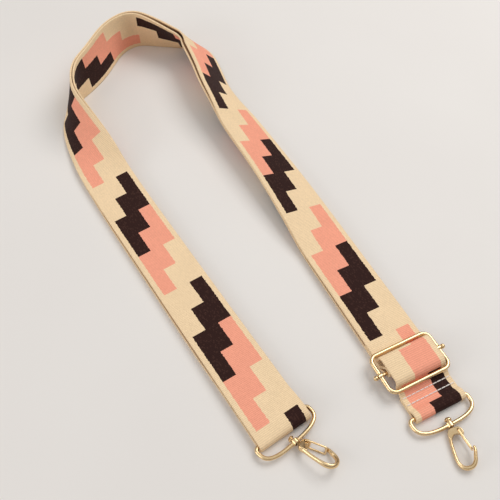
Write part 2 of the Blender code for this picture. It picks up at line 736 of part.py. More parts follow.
def anchor_profile():
    """Path of the sewn end loop round the centre bar: lower strand, loop and sewn tail."""
    low = FRAME_HEIGHT - ANCHOR_RADIUS
    high = FRAME_HEIGHT + ANCHOR_RADIUS
    tail = HALF_WEB + LAYER_PITCH
    ramp_end = -ANCHOR_RADIUS - ANCHOR_RAMP
    corners = [(0, -ANCHOR_TAIL, HALF_WEB), (0, ramp_end + LAYER_PITCH / 2, HALF_WEB),
               (0, ramp_end + LAYER_PITCH / 2 + ANCHOR_RISE, low), (0, ANCHOR_RADIUS, low),
               (0, ANCHOR_RADIUS, high), (0, -ANCHOR_RADIUS, high),
               (0, ramp_end, tail), (0, -ANCHOR_TAIL + LAYER_PITCH, tail)]
    bend = ANCHOR_RADIUS * 0.999
    return fillet_path(corners, [LAYER_PITCH, HALF_WEB, bend, bend, LAYER_PITCH, LAYER_PITCH])


def stitch_row_mesh(place_y, surface):
    """A row of raised stitches across the webbing, joined by the thread that dips between them."""
    half_run = WEB_WIDTH / 2 - STITCH_MARGIN - STITCH_LENGTH / 2
    count = int(2 * half_run / STITCH_PITCH) + 1
    low = surface + STITCH_SEAT
    rings = []
    for k in range(count):
        x = (k - (count - 1) / 2) * STITCH_PITCH
        for share, size in ((-1.0, 0.4), (-0.6, 1.0), (0.6, 1.0), (1.0, 0.4)):
            half = STITCH_WIDTH / 2 * size
            top = low + STITCH_HEIGHT * size
            at = x + share * STITCH_LENGTH / 2
            rings.append([Vector((at, place_y - half, low)), Vector((at, place_y + half, low)),
                          Vector((at, place_y + half, top)), Vector((at, place_y - half, top))])
    return bridge_rings(rings, closed=False)


def end_frame(name, root, route, distance, towards):
    """Empty on the floor line of the route: Y along the strap, Z up. Towards is +1 or -1."""
    centre = route_at(route, np.array([distance]))[0][0]
    heading = float(np.interp(distance, route["distance"], route["heading"]))
    angle = heading - math.pi / 2 if towards > 0 else heading + math.pi / 2
    matrix = Matrix.Translation((centre[0], centre[1], 0.0)) @ Matrix.Rotation(angle, 4, "Z")
    return add_empty(name, root, matrix)


def make_strap_webbing(root, route, material):
    """The stretches of both layers along the legs and the turn."""
    turn = [share * CURVED_RUN for share in TURN_SHARES]
    upper_end = SLIDER_DISTANCE - HUMP_REACH
    lower_end = SLIDER_DISTANCE - ANCHOR_TAIL
    stretches = (
        ("left_leg_upper_web", LEFT_POCKET, turn[0], 1, LEG_STATION),
        ("left_leg_lower_web", LEFT_POCKET, turn[0], -1, LEG_STATION),
        ("left_turn_outer_web", turn[0], turn[1], 1, TURN_STATION),
        ("left_turn_inner_web", turn[0], turn[1], -1, TURN_STATION),
        ("top_turn_outer_web", turn[1], turn[2], 1, TURN_STATION),
        ("top_turn_inner_web", turn[1], turn[2], -1, TURN_STATION),
        ("right_turn_outer_web", turn[2], turn[3], 1, TURN_STATION),
        ("right_turn_inner_web", turn[2], turn[3], -1, TURN_STATION),
        ("right_leg_upper_web", turn[3], FEED_START, 1, LEG_STATION),
        ("right_leg_lower_web", turn[3], FEED_START, -1, LEG_STATION),
        ("right_feed_upper_web", FEED_START, upper_end, 1, LEG_STATION),
        ("right_feed_lower_web", FEED_START, lower_end, -1, LEG_STATION),
    )
    for name, start, end, layer, station in stretches:
        add_solid(name, route_web(route, start, end, layer, station), root, material, True)


def make_left_end(root, route, web, metal):
    base = end_frame("left_end", root, route, 0.0, -1)
    spacing = route_at(route, np.array([LEFT_POCKET]))[3][0]
    add_solid("left_fold_web", left_fold_mesh(spacing), base, web, True)
    bar = add_empty("left_bar", base,
                    Matrix.Translation((0.0, -LEFT_RING_SETBACK, RING_BAR_HEIGHT)))
    make_snap_set("left", bar, LEFT_RING_YAW, LEFT_SWIVEL_LEAN, LEFT_HOOK_TURN, metal)


def make_right_end(root, route, web, thread, metal):
    slide = end_frame("slider_slide", root, route, SLIDER_DISTANCE, 1)
    base = end_frame("right_end", root, route, SLIDER_DISTANCE, 1)
    hump, tab = hump_profiles()
    anchor = anchor_profile()
    half_gap = SEAT_GAP / 2
    add_solid("slider_hump_web", profile_web(trimmed(hump, half_gap, half_gap)), slide, web, True)
    add_solid("anchor_loop_web", profile_web(trimmed(anchor, half_gap, 0.0)), slide, web, True)
    add_solid("right_tab_web", profile_web(trimmed(tab, half_gap, 0.0)), base, web, True)
    surface = HALF_WEB + LAYER_PITCH + HALF_WEB
    for k, row in enumerate(ANCHOR_ROWS):
        add_solid(f"anchor_stitches_{k + 1}", stitch_row_mesh(row, surface), slide, thread, False)
    for k, row in enumerate(TAB_ROWS):
        add_solid(f"tab_stitches_{k + 1}", stitch_row_mesh(row, surface), base, thread, False)
    rock = add_empty("slider_frame_rock", slide, Matrix.Translation((0.0, 0.0, FRAME_HEIGHT)))
    make_frame(rock, metal)
    add_solid("slider_centre_bar", moved(centre_bar_mesh(), (0.0, 0.0, FRAME_HEIGHT)), slide, metal,
              True)
    bar = add_empty("right_bar", base,
                    Matrix.Translation((0.0, SLIDER_TO_RING, RING_BAR_HEIGHT)))
    make_snap_set("right", bar, 0.0, RIGHT_SWIVEL_LEAN, RIGHT_HOOK_TURN, metal)


def centre_on_origin(root):
    """Moves the whole strap so that its box stands centred on the origin."""
    bpy.context.view_layer.update()
    corners = [item.matrix_world @ vertex.co for item in bpy.data.objects if item.type == "MESH"
               for vertex in item.data.vertices]
    low = [min(c[k] for c in corners) for k in range(3)]
    high = [max(c[k] for c in corners) for k in range(3)]
    root.location = (-(low[0] + high[0]) / 2, -(low[1] + high[1]) / 2, -low[2])
    bpy.context.view_layer.update()


def main():
    clear_scene()
    web = make_material("cream_webbing", CREAM, 0.0, 0.85)
    thread = make_material("pale_thread", THREAD, 0.0, 0.7)
    metal = make_material("pale_gold_plating", GOLD, 1.0, 0.25)
    root = add_empty("strap", None, Matrix.Identity(4))
    route = strap_route()
    make_strap_webbing(root, route, web)
    make_left_end(root, route, web, metal)
    make_right_end(root, route, web, thread, metal)
    centre_on_origin(root)


main()
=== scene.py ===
import json
import math

import bmesh
import bpy
import numpy as np
from mathutils import Matrix, Vector


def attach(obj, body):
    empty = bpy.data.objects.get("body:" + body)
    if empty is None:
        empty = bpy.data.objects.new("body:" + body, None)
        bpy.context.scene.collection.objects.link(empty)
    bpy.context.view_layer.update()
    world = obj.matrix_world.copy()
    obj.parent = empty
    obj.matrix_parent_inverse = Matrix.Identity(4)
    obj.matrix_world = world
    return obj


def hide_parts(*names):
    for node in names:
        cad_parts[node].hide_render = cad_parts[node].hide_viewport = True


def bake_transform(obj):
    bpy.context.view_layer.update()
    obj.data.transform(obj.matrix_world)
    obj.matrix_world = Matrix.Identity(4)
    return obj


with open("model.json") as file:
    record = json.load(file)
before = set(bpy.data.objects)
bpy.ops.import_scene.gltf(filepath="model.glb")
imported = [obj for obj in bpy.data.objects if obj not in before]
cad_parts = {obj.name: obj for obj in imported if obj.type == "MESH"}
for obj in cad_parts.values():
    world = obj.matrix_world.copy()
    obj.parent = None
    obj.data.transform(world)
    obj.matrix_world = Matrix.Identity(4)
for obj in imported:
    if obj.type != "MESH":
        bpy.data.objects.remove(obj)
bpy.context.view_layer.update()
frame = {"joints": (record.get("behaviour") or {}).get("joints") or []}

MM = 0.001

# Webbing
WEB_WIDTH = 0.038
WEB_THICKNESS = 0.0016
HALF_WEB = WEB_THICKNESS / 2
EDGE_ROUND = 0.0006
STATION = 0.0025
ACROSS_STEPS = 14
SEAT_GAP = 0.0003
LAYER_PITCH = WEB_THICKNESS + SEAT_GAP

# Route of the doubled strap, as laid
RUN_LENGTH = 0.893
LEFT_HEADING = 122.8
RIGHT_HEADING = -63.4
LEFT_POCKET = 0.030
# share of the curved run, heading and roll in degrees, layer spacing as a share of the thickness
ROUTE_SHARES = (
    (0.000, LEFT_HEADING, 0.0, 3.00),
    (0.140, LEFT_HEADING, 1.0, 2.15),
    (0.245, LEFT_HEADING, 2.0, 1.95),
    (0.322, 122.0, 5.0, 1.80),
    (0.374, 121.5, 34.0, 1.60),
    (0.413, 116.0, 55.0, 1.42),
    (0.452, 88.0, 77.0, 1.35),
    (0.491, 64.5, 97.0, 1.35),
    (0.530, 72.0, 102.0, 1.40),
    (0.569, 50.0, 93.5, 1.60),
    (0.608, -18.5, 78.0, 2.00),
    (0.647, -20.5, 58.0, 2.50),
    (0.686, -69.0, 44.0, 2.70),
    (0.725, -72.0, 45.0, 2.75),
    (0.764, -63.5, 39.0, 2.75),
    (0.816, -61.0, 23.0, 2.75),
    (0.868, -61.5, 19.5, 2.70),
    (0.946, RIGHT_HEADING, 10.0, 2.65),
    (1.000, RIGHT_HEADING, 0.0, 2.65),
)
STRAND_SHARE = 0.790
ROUTE_SAMPLES = 900

# Small shifts seen in the photograph: off the middle of the adjuster, and between the layers
WEB_DRIFT = -0.0012
LOWER_SLIP = 0.0009
LOWER_LIFT = 0.0018
# share of the curved run, shares of the lower layer's slip sideways and of its lift
LOWER_LAYER_SHARES = (
    (0.04, 0.0, 0.0), (0.11, -1.0, 0.0), (0.26, -1.0, 0.0), (0.36, 0.0, 0.0),
    (0.62, 0.0, 0.0), (0.70, 0.2, 0.4), (0.75, -0.2, 0.7), (0.81, -1.4, 1.0),
    (0.88, -1.4, 1.0), (1.02, 0.0, 0.3), (1.09, 0.0, 0.0),
)

# Loose fold round the left ring's bar: its inner edge bends wider and stands higher
LEFT_FOLD_WIDE_RADIUS = 0.0042
LEFT_RAMP_START = 0.024
LEFT_RAMP_END = 0.009
LEFT_RAMP_BEND = 0.015
LEFT_FOLD_STATIONS = 96
# fillets a trace under the full half turn, so that a short straight stays between them
FULL_BEND_SHARE = 0.999

# Rings, eyes and swivels
RING_WIRE = 0.0026
RING_HALF_WIDTH = 0.0218
RING_DEPTH = 0.013
RING_CORNER = 0.0025
RING_SQUARENESS = 3.0
RING_STEPS = 72
EYE_RADIUS = 0.0024
EYE_HALF_LENGTH = 0.0017
EYE_ROUND = 0.0004
BARREL_SHOULDER_SHARE = 0.3
HOLE_OVERRUN_SHARE = 1.3
POST_RADIUS = 0.0012
POST_PLAY = 0.0006
MOST_SWIVEL_LEAN = 17.0
WASHER_RADIUS = 0.0023
WASHER_THICKNESS = 0.0008
HEAD_RADIUS = 0.0020
HEAD_THICKNESS = 0.0010
HEAD_DOME_ANGLES = (84, 60, 40, 20, 0)
WASHER_ROUND_SHARE = 0.2

# Hook and gate
HOOK_REACH = 0.0278
HOOK_SPINE_OFFSET = 0.0054
HOOK_ROD_RADIUS = 0.00115
HOOK_ROD_HALF_DEPTH = 0.0018
PLATE_HALF_THICKNESS = 0.0017
PLATE_ROUND = 0.0004
PLATE_BEVEL_STEPS = 3
NECK_LENGTH = 0.0012
NECK_START_SHARE = 0.8
NECK_RADIUS_SHARE = 1.25
# sideways place as a share of the spine offset, place along as a share of the reach, rod size share
HOOK_ROD_SHARES = (
    (0.48, 0.15, 0.95), (0.64, 0.28, 0.88), (0.81, 0.43, 0.86), (0.94, 0.61, 0.88),
    (1.00, 0.75, 0.95), (0.93, 0.87, 1.06), (0.62, 0.96, 1.16), (0.10, 1.00, 1.22),
    (-0.46, 0.98, 1.16), (-0.88, 0.90, 1.06), (-1.08, 0.81, 1.00), (-1.27, 0.73, 0.90),
    (-1.37, 0.665, 0.78), (-1.37, 0.625, 0.70),
)
# the rod's rounded end: drop as a share of the radius, size share
HOOK_TIP_SHARES = ((0.35, 0.92), (0.70, 0.68), (0.95, 0.30))
# the plate's outline, in the same shares
HOOK_PLATE_SHARES = (
    (-0.30, 0.060), (-0.74, 0.078), (-1.00, 0.140), (-1.05, 0.210), (-0.93, 0.262),
    (-0.62, 0.248), (-0.24, 0.212), (0.08, 0.204), (0.34, 0.240), (0.62, 0.300),
    (0.74, 0.200), (0.66, 0.120), (0.30, 0.060),
)
GATE_WIRE = 0.0012
GATE_TIP_SHARE = 0.657
GATE_BEND = 0.0008
GATE_HALF_SPREAD = PLATE_HALF_THICKNESS + SEAT_GAP + GATE_WIRE / 2

# Slide adjuster
TILT_GAP = 0.0008
THREAD_ROOM = 0.0008
FRAME_WIRE = 0.0028
FRAME_HALF_LENGTH = 0.014
FRAME_HALF_WIDTH = 0.0226
FRAME_CORNER = 0.0050
LUG_RADIUS = 0.0020
LUG_HALF_LENGTH = 0.0016
LUG_ROUND = 0.0004
CENTRE_BAR_RADIUS = 0.0012
TENON_RADIUS = 0.0008
BALL_RADIUS = 0.0017
BALL_ANGLES = range(35, 176, 14)
SLIDER_TO_RING = 0.0323
SLIDER_TRAVEL = 0.060
HUMP_OVERHANG = 0.0015
HUMP_LEAN = 0.0006
HUMP_SHOULDER = 0.0040
ANCHOR_TAIL = 0.027
ANCHOR_RAMP = 0.0052
ANCHOR_RISE = 0.0055
FEED_MARGIN = 0.004
TAB_START = 0.0170
TAB_POCKET = 0.0058
TAB_RAMP = 0.0035
HUMP_DROP = 0.0028
HUMP_FOOT_SHARES = (0.95, 0.90)

# Stitches
STITCH_LENGTH = 0.0027
STITCH_PITCH = 0.0033
STITCH_ARCH = 0.0004
STITCH_MARGIN = 0.0008
THREAD_RADIUS = 0.00036
THREAD_RISE_SHARE = 0.6
TAB_ROWS = (0.0182, 0.0232)
ANCHOR_ROWS = (-0.0150, -0.0215)

# Sizes that follow
RING_BAR_HEIGHT = WEB_THICKNESS + SEAT_GAP + RING_WIRE / 2
RING_FOLD_RADIUS = RING_WIRE / 2 + SEAT_GAP + HALF_WEB
SLIDER_SPACING = LAYER_PITCH + THREAD_ROOM + WEB_THICKNESS
UPPER_HEIGHT = HALF_WEB + SLIDER_SPACING
FRAME_WRAP_RADIUS = FRAME_WIRE / 2 + TILT_GAP + HALF_WEB
FRAME_HEIGHT = UPPER_HEIGHT + FRAME_WRAP_RADIUS
ANCHOR_RADIUS = CENTRE_BAR_RADIUS + SEAT_GAP + HALF_WEB
HUMP_HEIGHT = FRAME_HEIGHT + ANCHOR_RADIUS + LAYER_PITCH
HUMP_REACH = FRAME_HALF_LENGTH + HUMP_OVERHANG
SLIDER_DISTANCE = RUN_LENGTH - SLIDER_TO_RING
STRAIGHT_RUN = SLIDER_TO_RING + ANCHOR_TAIL + SLIDER_TRAVEL + 4 * FEED_MARGIN
CURVED_RUN = RUN_LENGTH - STRAIGHT_RUN
STRAND_START = STRAND_SHARE * CURVED_RUN
PLATE_START = EYE_HALF_LENGTH + SEAT_GAP + EYE_RADIUS * math.sin(math.radians(MOST_SWIVEL_LEAN))
WASHER_START = EYE_HALF_LENGTH + SEAT_GAP + WASHER_RADIUS * math.sin(math.radians(MOST_SWIVEL_LEAN))

# Pattern: three columns of blocks, each two steps long, set back by one step from its neighbour
PATTERN_STEP = 0.0197
PATTERN_START = 0.008
REPEAT_STEPS = 6
BLOCK_STEPS = 2
COLUMN_WIDTH = 0.01013
UPPER_PATTERN_STEPS = 4.0
HUMP_PATTERN_SHARE = 0.89
LOWER_STRIP_START = -PATTERN_START - 18.44 * PATTERN_STEP
SLACK_RUN = 0.3 * RUN_LENGTH
RIB_PITCH_MM = 1.2
WARP_PITCH_MM = 0.8
EDGE_SHAKE_MM = 0.45
EDGE_SHIFT_MM = 0.22
RIB_RISE = 0.32
WARP_RISE = 0.18
PLY_WAVE_SCALE = 396.8

# Colours
CREAM, PINK, DARK = "#F3D6AD", "#F7A589", "#2D130D"
BACK_CREAM, BACK_PINK, BACK_DARK = "#E2C39C", "#DE9A80", "#5A3F34"
DARK_FLECK, BACK_FLOAT = "#6B4A3D", "#B98F6C"
# painted shade in the grooves between the thread's plies, and painted light on their crowns
THREAD_PLY_GROOVE_SHADE, THREAD_PLY_CROWN_LIGHT = "#E4D6CA", "#FFFAF5"
GOLD_LOW, GOLD_HIGH = "#E5C18B", "#F4DAAF"
FLOOR_LOW, FLOOR_HIGH = "#E4DFDA", "#EAE6E1"
LOW_GLOW, HIGH_GLOW, BACKDROP = "#5E4B3E", "#FFFFFF", "#F6F3EF"

# Studio
FLOOR_HALF = 2.5
WORLD_STRENGTH = 0.65
GLOW_START, GLOW_FULL = 0.08, 0.7
KEY = {"place": (0.7, 0.55, 1.2), "size": (0.9, 0.9), "power": 10.5}
FILL = {"place": (-1.1, -0.6, 0.45), "size": (0.9, 0.6), "power": 4.5}

# Camera, fitted to the pattern's corners in the photograph
CAMERA_ELEVATION = 54.0
CAMERA_DISTANCE = 0.5
CAMERA_FOCAL_SHARE = 671.6 / 500
SENSOR_WIDTH_MM = 36.0
VIEW_FROM_ROUTE_START = (-0.0211, 0.1409)

# Steps of the meshes
WIRE_SIDES = 28
ROD_SIDES = 24
TURNED_SIDES = 40
THREAD_SIDES = 8
ARC_SIDES = 6
ARC_STEP = 9.0
CORNER_STEPS = 12
WEB_SHARP_ANGLE = 60
METAL_SHARP_ANGLE = 38

UP = Vector((0.0, 0.0, 1.0))


# Route and paths

def smooth_values(rows, column, wanted):
    """Monotone cubic through a column of a table, read at the wanted values of its first column."""
    table = np.array(rows)
    x, y = table[:, 0], table[:, column]
    step = np.diff(x)
    slope = np.diff(y) / step
    tangent = np.zeros(len(x))
    for k in range(1, len(x) - 1):
        if slope[k - 1] * slope[k] > 0:
            before = 2 * step[k] + step[k - 1]
            after = step[k] + 2 * step[k - 1]
            tangent[k] = (before + after) / (before / slope[k - 1] + after / slope[k])
    spot = np.clip(wanted, x[0], x[-1])
    cell = np.clip(np.searchsorted(x, spot, side="right") - 1, 0, len(step) - 1)
    t = (spot - x[cell]) / step[cell]
    start = (1 + 2 * t) * (1 - t) ** 2 * y[cell] + t * (1 - t) ** 2 * step[cell] * tangent[cell]
    end = t * t * (3 - 2 * t) * y[cell + 1] + t * t * (t - 1) * step[cell] * tangent[cell + 1]
    return start + end


def strap_route():
    """Centre line of the doubled strap with its width and face directions and layer spacing."""
    distance = np.linspace(0.0, RUN_LENGTH, ROUTE_SAMPLES)
    share = distance / CURVED_RUN
    heading = np.radians(smooth_values(ROUTE_SHARES, 1, share))
    roll = np.radians(smooth_values(ROUTE_SHARES, 2, share))
    spacing = smooth_values(ROUTE_SHARES, 3, share) * WEB_THICKNESS
    spacing = np.where(share < 1, spacing, SLIDER_SPACING)
    height = WEB_WIDTH / 2 * np.sin(roll) + (spacing + WEB_THICKNESS) / 2 * np.abs(np.cos(roll))
    climb = np.gradient(height, distance)
    level = np.sqrt(1 - climb ** 2)
    along = np.stack([np.cos(heading) * level, np.sin(heading) * level], axis=1)
    moves = (along[1:] + along[:-1]) / 2 * np.diff(distance)[:, None]
    plan = np.vstack([[0.0, 0.0], np.cumsum(moves, axis=0)])
    centre = np.column_stack([plan, height])
    forward = np.column_stack([along, climb])
    inward = np.column_stack([np.sin(heading), -np.cos(heading), np.zeros(len(heading))])
    upward = np.cross(inward, forward)
    width = np.cos(roll)[:, None] * inward + np.sin(roll)[:, None] * upward
    return {"distance": distance, "centre": centre, "width": width,
            "face": np.cross(width, forward), "spacing": spacing}


def joint_row(name):
    return next(joint for joint in frame["joints"] if joint["name"] == name)


def place_route(route):
    """Moves the route so that its far end stands at the right ring's hinge."""
    shift = np.array(joint_row("right_ring_swing")["pos_m"]) - route["centre"][-1]
    shift[2] = 0.0
    route["centre"] = route["centre"] + shift
    return route


def fillet_path(corners, radii, arc_step=ARC_STEP):
    """Path through corner points with each inner corner rounded to its radius."""
    points = [Vector(corners[0])]
    for k in range(1, len(corners) - 1):
        here = Vector(corners[k])
        back = (Vector(corners[k - 1]) - here).normalized()
        ahead = (Vector(corners[k + 1]) - here).normalized()
        half = back.angle(ahead) / 2
        setback = radii[k - 1] / math.tan(half)
        centre = here + (back + ahead).normalized() * (radii[k - 1] / math.sin(half))
        start = here + back * setback - centre
        end = here + ahead * setback - centre
        sweep = math.pi - 2 * half
        steps = max(2, math.ceil(math.degrees(sweep) / arc_step))
        for j in range(steps + 1):
            turn = sweep * j / steps
            mix = start * math.sin(sweep - turn) + end * math.sin(turn)
            points.append(centre + mix / math.sin(sweep))
    points.append(Vector(corners[-1]))
    return points


def even_steps(points, longest):
    """The path with points added so that no stretch is longer than given."""
    path = [points[0]]
    for point in points[1:]:
        gap = (point - path[-1]).length
        if gap < SEAT_GAP / 3:
            continue
        start = path[-1]
        count = max(1, math.ceil(gap / longest))
        for j in range(1, count + 1):
            path.append(start.lerp(point, j / count))
    return path


def smooth_curve(points, steps):
    """Catmull-Rom curve through rows of numbers, with the given steps between rows."""
    rows = np.asarray(points, float)
    ends = np.vstack([2 * rows[0] - rows[1], rows, 2 * rows[-1] - rows[-2]])
    curve = []
    for k in range(1, len(ends) - 2):
        before, here, after, beyond = ends[k - 1:k + 3]
        for j in range(steps):
            t = j / steps
            curve.append(0.5 * (2 * here + (after - before) * t
                                + (2 * before - 5 * here + 4 * after - beyond) * t * t
                                + (3 * here - before - 3 * after + beyond) * t ** 3))
    curve.append(rows[-1])
    return np.array(curve)


# Webbing

def route_stations(route, start, end, layer):
    """Stations of one layer between two distances: centre, width, outer direction, strip place."""
    count = max(2, math.ceil(abs(end - start) / STATION) + 1)
    wanted = np.linspace(start, end, count)

    def read(values):
        return np.interp(wanted, route["distance"], values)

    def read_rows(key):
        return np.column_stack([read(route[key][:, k]) for k in range(3)])

    width = unit_rows(read_rows("width"))
    face = unit_rows(read_rows("face"))
    centre = read_rows("centre") + face * (layer * read(route["spacing"]) / 2)[:, None]
    centre = centre + width * slider_drift(wanted)[:, None]
    if layer < 0:
        slip, lift = lower_layer_shift(wanted)
        centre = centre + width * slip[:, None] + face * lift[:, None]
    strip = upper_strip(wanted) if layer > 0 else lower_strip(wanted)
    return centre, width, face * layer, strip


def unit_rows(rows):
    return rows / np.linalg.norm(rows, axis=1)[:, None]


def lower_layer_shift(distance):
    """How far the lower layer lies to the side of its place and above it."""
    share = distance / CURVED_RUN
    return (LOWER_SLIP * smooth_values(LOWER_LAYER_SHARES, 1, share),
            LOWER_LIFT * smooth_values(LOWER_LAYER_SHARES, 2, share))


def slider_drift(distance):
    """How far the webbing lies off the middle of the adjuster, growing along the right strand."""
    share = np.clip((distance - STRAND_START) / (SLIDER_DISTANCE - HUMP_REACH - STRAND_START), 0, 1)
    return WEB_DRIFT * share * share * (3 - 2 * share)


def upper_strip(distance):
    """Place along the woven strip of a point of the upper layer."""
    return UPPER_PATTERN_STEPS * PATTERN_STEP - (distance - PATTERN_START)


def lower_strip(distance):
    """The same for the lower layer; its slack takes up the rest of the repeat near the fold."""
    repeat = REPEAT_STEPS * PATTERN_STEP
    at_fold = upper_strip(0.0) + math.pi * RING_FOLD_RADIUS
    slack = (at_fold - LOWER_STRIP_START + repeat / 2) % repeat - repeat / 2
    near_fold = np.clip(1 - (distance - LEFT_POCKET) / SLACK_RUN, 0, 1)
    return LOWER_STRIP_START + distance + slack * near_fold


def bend_stations(profile, origin, ahead, inward, outer_sign, strip):
    """Stations along a path in the upright plane at an end of the route."""
    path = even_steps(profile, STATION)
    count = len(path)
    centres, outers = [], []
    for k in range(count):
        step = path[min(k + 1, count - 1)] - path[max(k - 1, 0)]
        step.normalize()
        centres.append(origin + ahead * path[k].y + inward * WEB_DRIFT + np.array(UP) * path[k].z)
        outers.append((ahead * -step.z + np.array(UP) * step.y) * outer_sign)
    lengths = np.concatenate([[0.0], np.cumsum([(b - a).length for a, b in zip(path, path[1:])])])
    return np.array(centres), np.array([inward] * count), np.array(outers), strip(lengths)


def join_stations(*groups):
    """One run of stations from several, each joint's doubled station kept once."""
    kept = [tuple(part[1:] for part in group) if k else group for k, group in enumerate(groups)]
    return tuple(np.concatenate([group[k] for group in kept]) for k in range(4))


def web_section():
    """Rounded section of the webbing: across, out and whether it is on the reverse face."""
    flat = WEB_WIDTH / 2 - EDGE_ROUND
    rise = HALF_WEB - EDGE_ROUND
    outer = [(a, HALF_WEB, 0) for a in np.linspace(-flat, flat, ACROSS_STEPS + 1)]
    edge = []
    for angle in (60, 30, 0):
        turn = math.radians(angle)
        edge.append((flat + EDGE_ROUND * math.cos(turn), rise + EDGE_ROUND * math.sin(turn), 0))
    near = outer + edge + [(a, -w, 0) for a, w, side in reversed(edge)]
    inner = [(a, -HALF_WEB, 1) for a in np.linspace(flat, -flat, ACROSS_STEPS + 1)]
    far = [(-a, -w, 0) for a, w, side in edge] + [(-a, w, 0) for a, w, side in reversed(edge)]
    return near + inner + far


def webbing(name, stations, materials):
    """Strip of webbing through the stations, with its place on the strip as a UV map."""
    centre, width, outer, strip = stations
    section = web_section()
    count = len(section)
    across = np.array([a for a, w, side in section])
    out = np.array([w for a, w, side in section])
    points = (centre[:, None, :] + width[:, None, :] * across[None, :, None]
              + outer[:, None, :] * out[None, :, None])
    faces, uvs, slots = [], [], []
    for k in range(len(centre) - 1):
        for j in range(count):
            after = (j + 1) % count
            faces.append((k * count + j, k * count + after, (k + 1) * count + after,
                          (k + 1) * count + j))
            uvs += [(across[j], strip[k]), (across[after], strip[k]),
                    (across[after], strip[k + 1]), (across[j], strip[k + 1])]
            slots.append(1 if section[j][2] and section[after][2] else 0)
    last = (len(centre) - 1) * count
    for first, order, place in ((0, range(count - 1, -1, -1), 0), (last, range(count), -1)):
        faces.append(tuple(first + j for j in order))
        uvs += [(across[j], strip[place]) for j in order]
        slots.append(1)
    mesh = bpy.data.meshes.new(name)
    mesh.from_pydata(points.reshape(-1, 3), [], faces)
    layer = mesh.uv_layers.new(name="strip")
    layer.data.foreach_set("uv", np.array(uvs, np.float32).ravel())
    mesh.polygons.foreach_set("material_index", slots)
    for material in materials:
        mesh.materials.append(material)
    turn_outward(mesh)
    mesh.shade_smooth()
    mesh.set_sharp_from_angle(angle=math.radians(WEB_SHARP_ANGLE))
    return link(name, mesh)


def turn_outward(mesh):
    """Makes every face of the mesh look outward."""
    work = bmesh.new()
    work.from_mesh(mesh)
    bmesh.ops.recalc_face_normals(work, faces=work.faces)
    work.to_mesh(mesh)
    work.free()


def link(name, data):
    """New object with the data given, in the scene."""
    piece = bpy.data.objects.new(name, data)
    bpy.context.scene.collection.objects.link(piece)
    return piece


def end_basis(route, distance):
    """Point on the floor line, direction of travel and inner side at a place of the route."""
    k = int(np.argmin(abs(route["distance"] - distance)))
    ahead = np.cross(np.array(UP), route["width"][k])
    ahead /= np.linalg.norm(ahead)
    base = np.array([np.interp(distance, route["distance"], route["centre"][:, a])
                     for a in range(3)])
    base[2] = 0.0
    return base, ahead, route["width"][k] * np.array((1.0, 1.0, 0.0))


def even_path(points, count):
    """The same path with the given number of points at even steps, and its length."""
    rows = np.array([tuple(point) for point in points])
    steps = np.linalg.norm(np.diff(rows, axis=0), axis=1)
    places = np.concatenate([[0.0], np.cumsum(steps)])
    wanted = np.linspace(0.0, places[-1], count)
    return np.column_stack([np.interp(wanted, places, rows[:, k]) for k in range(3)]), places[-1]


def left_fold_edge(across, radius, spacing):
    """Path of one edge of the left fold. A wider bend reaches less far, so both edges are as long."""
    start = HALF_WEB + spacing
    high = HALF_WEB + 2 * radius
    reach = radius - math.pi / 2 * (radius - RING_FOLD_RADIUS)
    edge = fillet_path(
        [(across, -LEFT_POCKET, start), (across, -LEFT_RAMP_START, start),
         (across, -LEFT_RAMP_END, high), (across, reach, high), (across, reach, HALF_WEB),
         (across, -LEFT_POCKET, HALF_WEB)],
        [LEFT_RAMP_BEND, LEFT_RAMP_BEND, radius * FULL_BEND_SHARE, radius * FULL_BEND_SHARE])
    return even_path(edge, LEFT_FOLD_STATIONS)


def fold_stations(route):
    """Stations of the loose fold round the left ring's bar, ruled from edge to edge."""
    base, ahead, inward = end_basis(route, 0.0)
    spacing = float(np.interp(LEFT_POCKET, route["distance"], route["spacing"]))
    outer, outer_length = left_fold_edge(-WEB_WIDTH / 2, RING_FOLD_RADIUS, spacing)
    inner, inner_length = left_fold_edge(WEB_WIDTH / 2, LEFT_FOLD_WIDE_RADIUS, spacing)
    axes = np.array([inward, -ahead, tuple(UP)])
    outer, inner = base + outer @ axes, base + inner @ axes
    centre = (outer + inner) / 2
    width = unit_rows(inner - outer)
    outward = unit_rows(np.cross(np.gradient(centre, axis=0), width))
    run = np.linspace(0.0, (outer_length + inner_length) / 2, LEFT_FOLD_STATIONS)
    return centre, width, outward, upper_strip(LEFT_POCKET) + run


def hump_profiles():
    """Paths of the webbing over the centre bar and of the tab, in the adjuster's Y and Z."""
    wall = FRAME_HALF_LENGTH - FRAME_WRAP_RADIUS
    slope_start = FRAME_HALF_LENGTH + SEAT_GAP
    slope_end = slope_start + HUMP_DROP
    tab_height = HALF_WEB + LAYER_PITCH
    fold_top = RING_BAR_HEIGHT + RING_FOLD_RADIUS
    fold_end = SLIDER_TO_RING + RING_FOLD_RADIUS
    pocket = SLIDER_TO_RING - TAB_POCKET
    bend = RING_FOLD_RADIUS * FULL_BEND_SHARE
    first_foot, last_foot = (FRAME_WRAP_RADIUS * share for share in HUMP_FOOT_SHARES)
    hump = fillet_path(
        [(0, -HUMP_REACH, UPPER_HEIGHT), (0, -wall, UPPER_HEIGHT), (0, -wall + HUMP_LEAN, HUMP_HEIGHT),
         (0, wall - HUMP_LEAN, HUMP_HEIGHT), (0, wall, UPPER_HEIGHT), (0, slope_start, UPPER_HEIGHT)],
        [first_foot, HUMP_SHOULDER, HUMP_SHOULDER, last_foot])
    tab = fillet_path(
        [(0, slope_start, UPPER_HEIGHT), (0, slope_end, tab_height), (0, pocket, tab_height),
         (0, pocket + TAB_RAMP, fold_top), (0, fold_end, fold_top), (0, fold_end, HALF_WEB),
         (0, TAB_START, HALF_WEB)],
        [LAYER_PITCH, LAYER_PITCH, LAYER_PITCH, bend, bend])
    return hump, tab


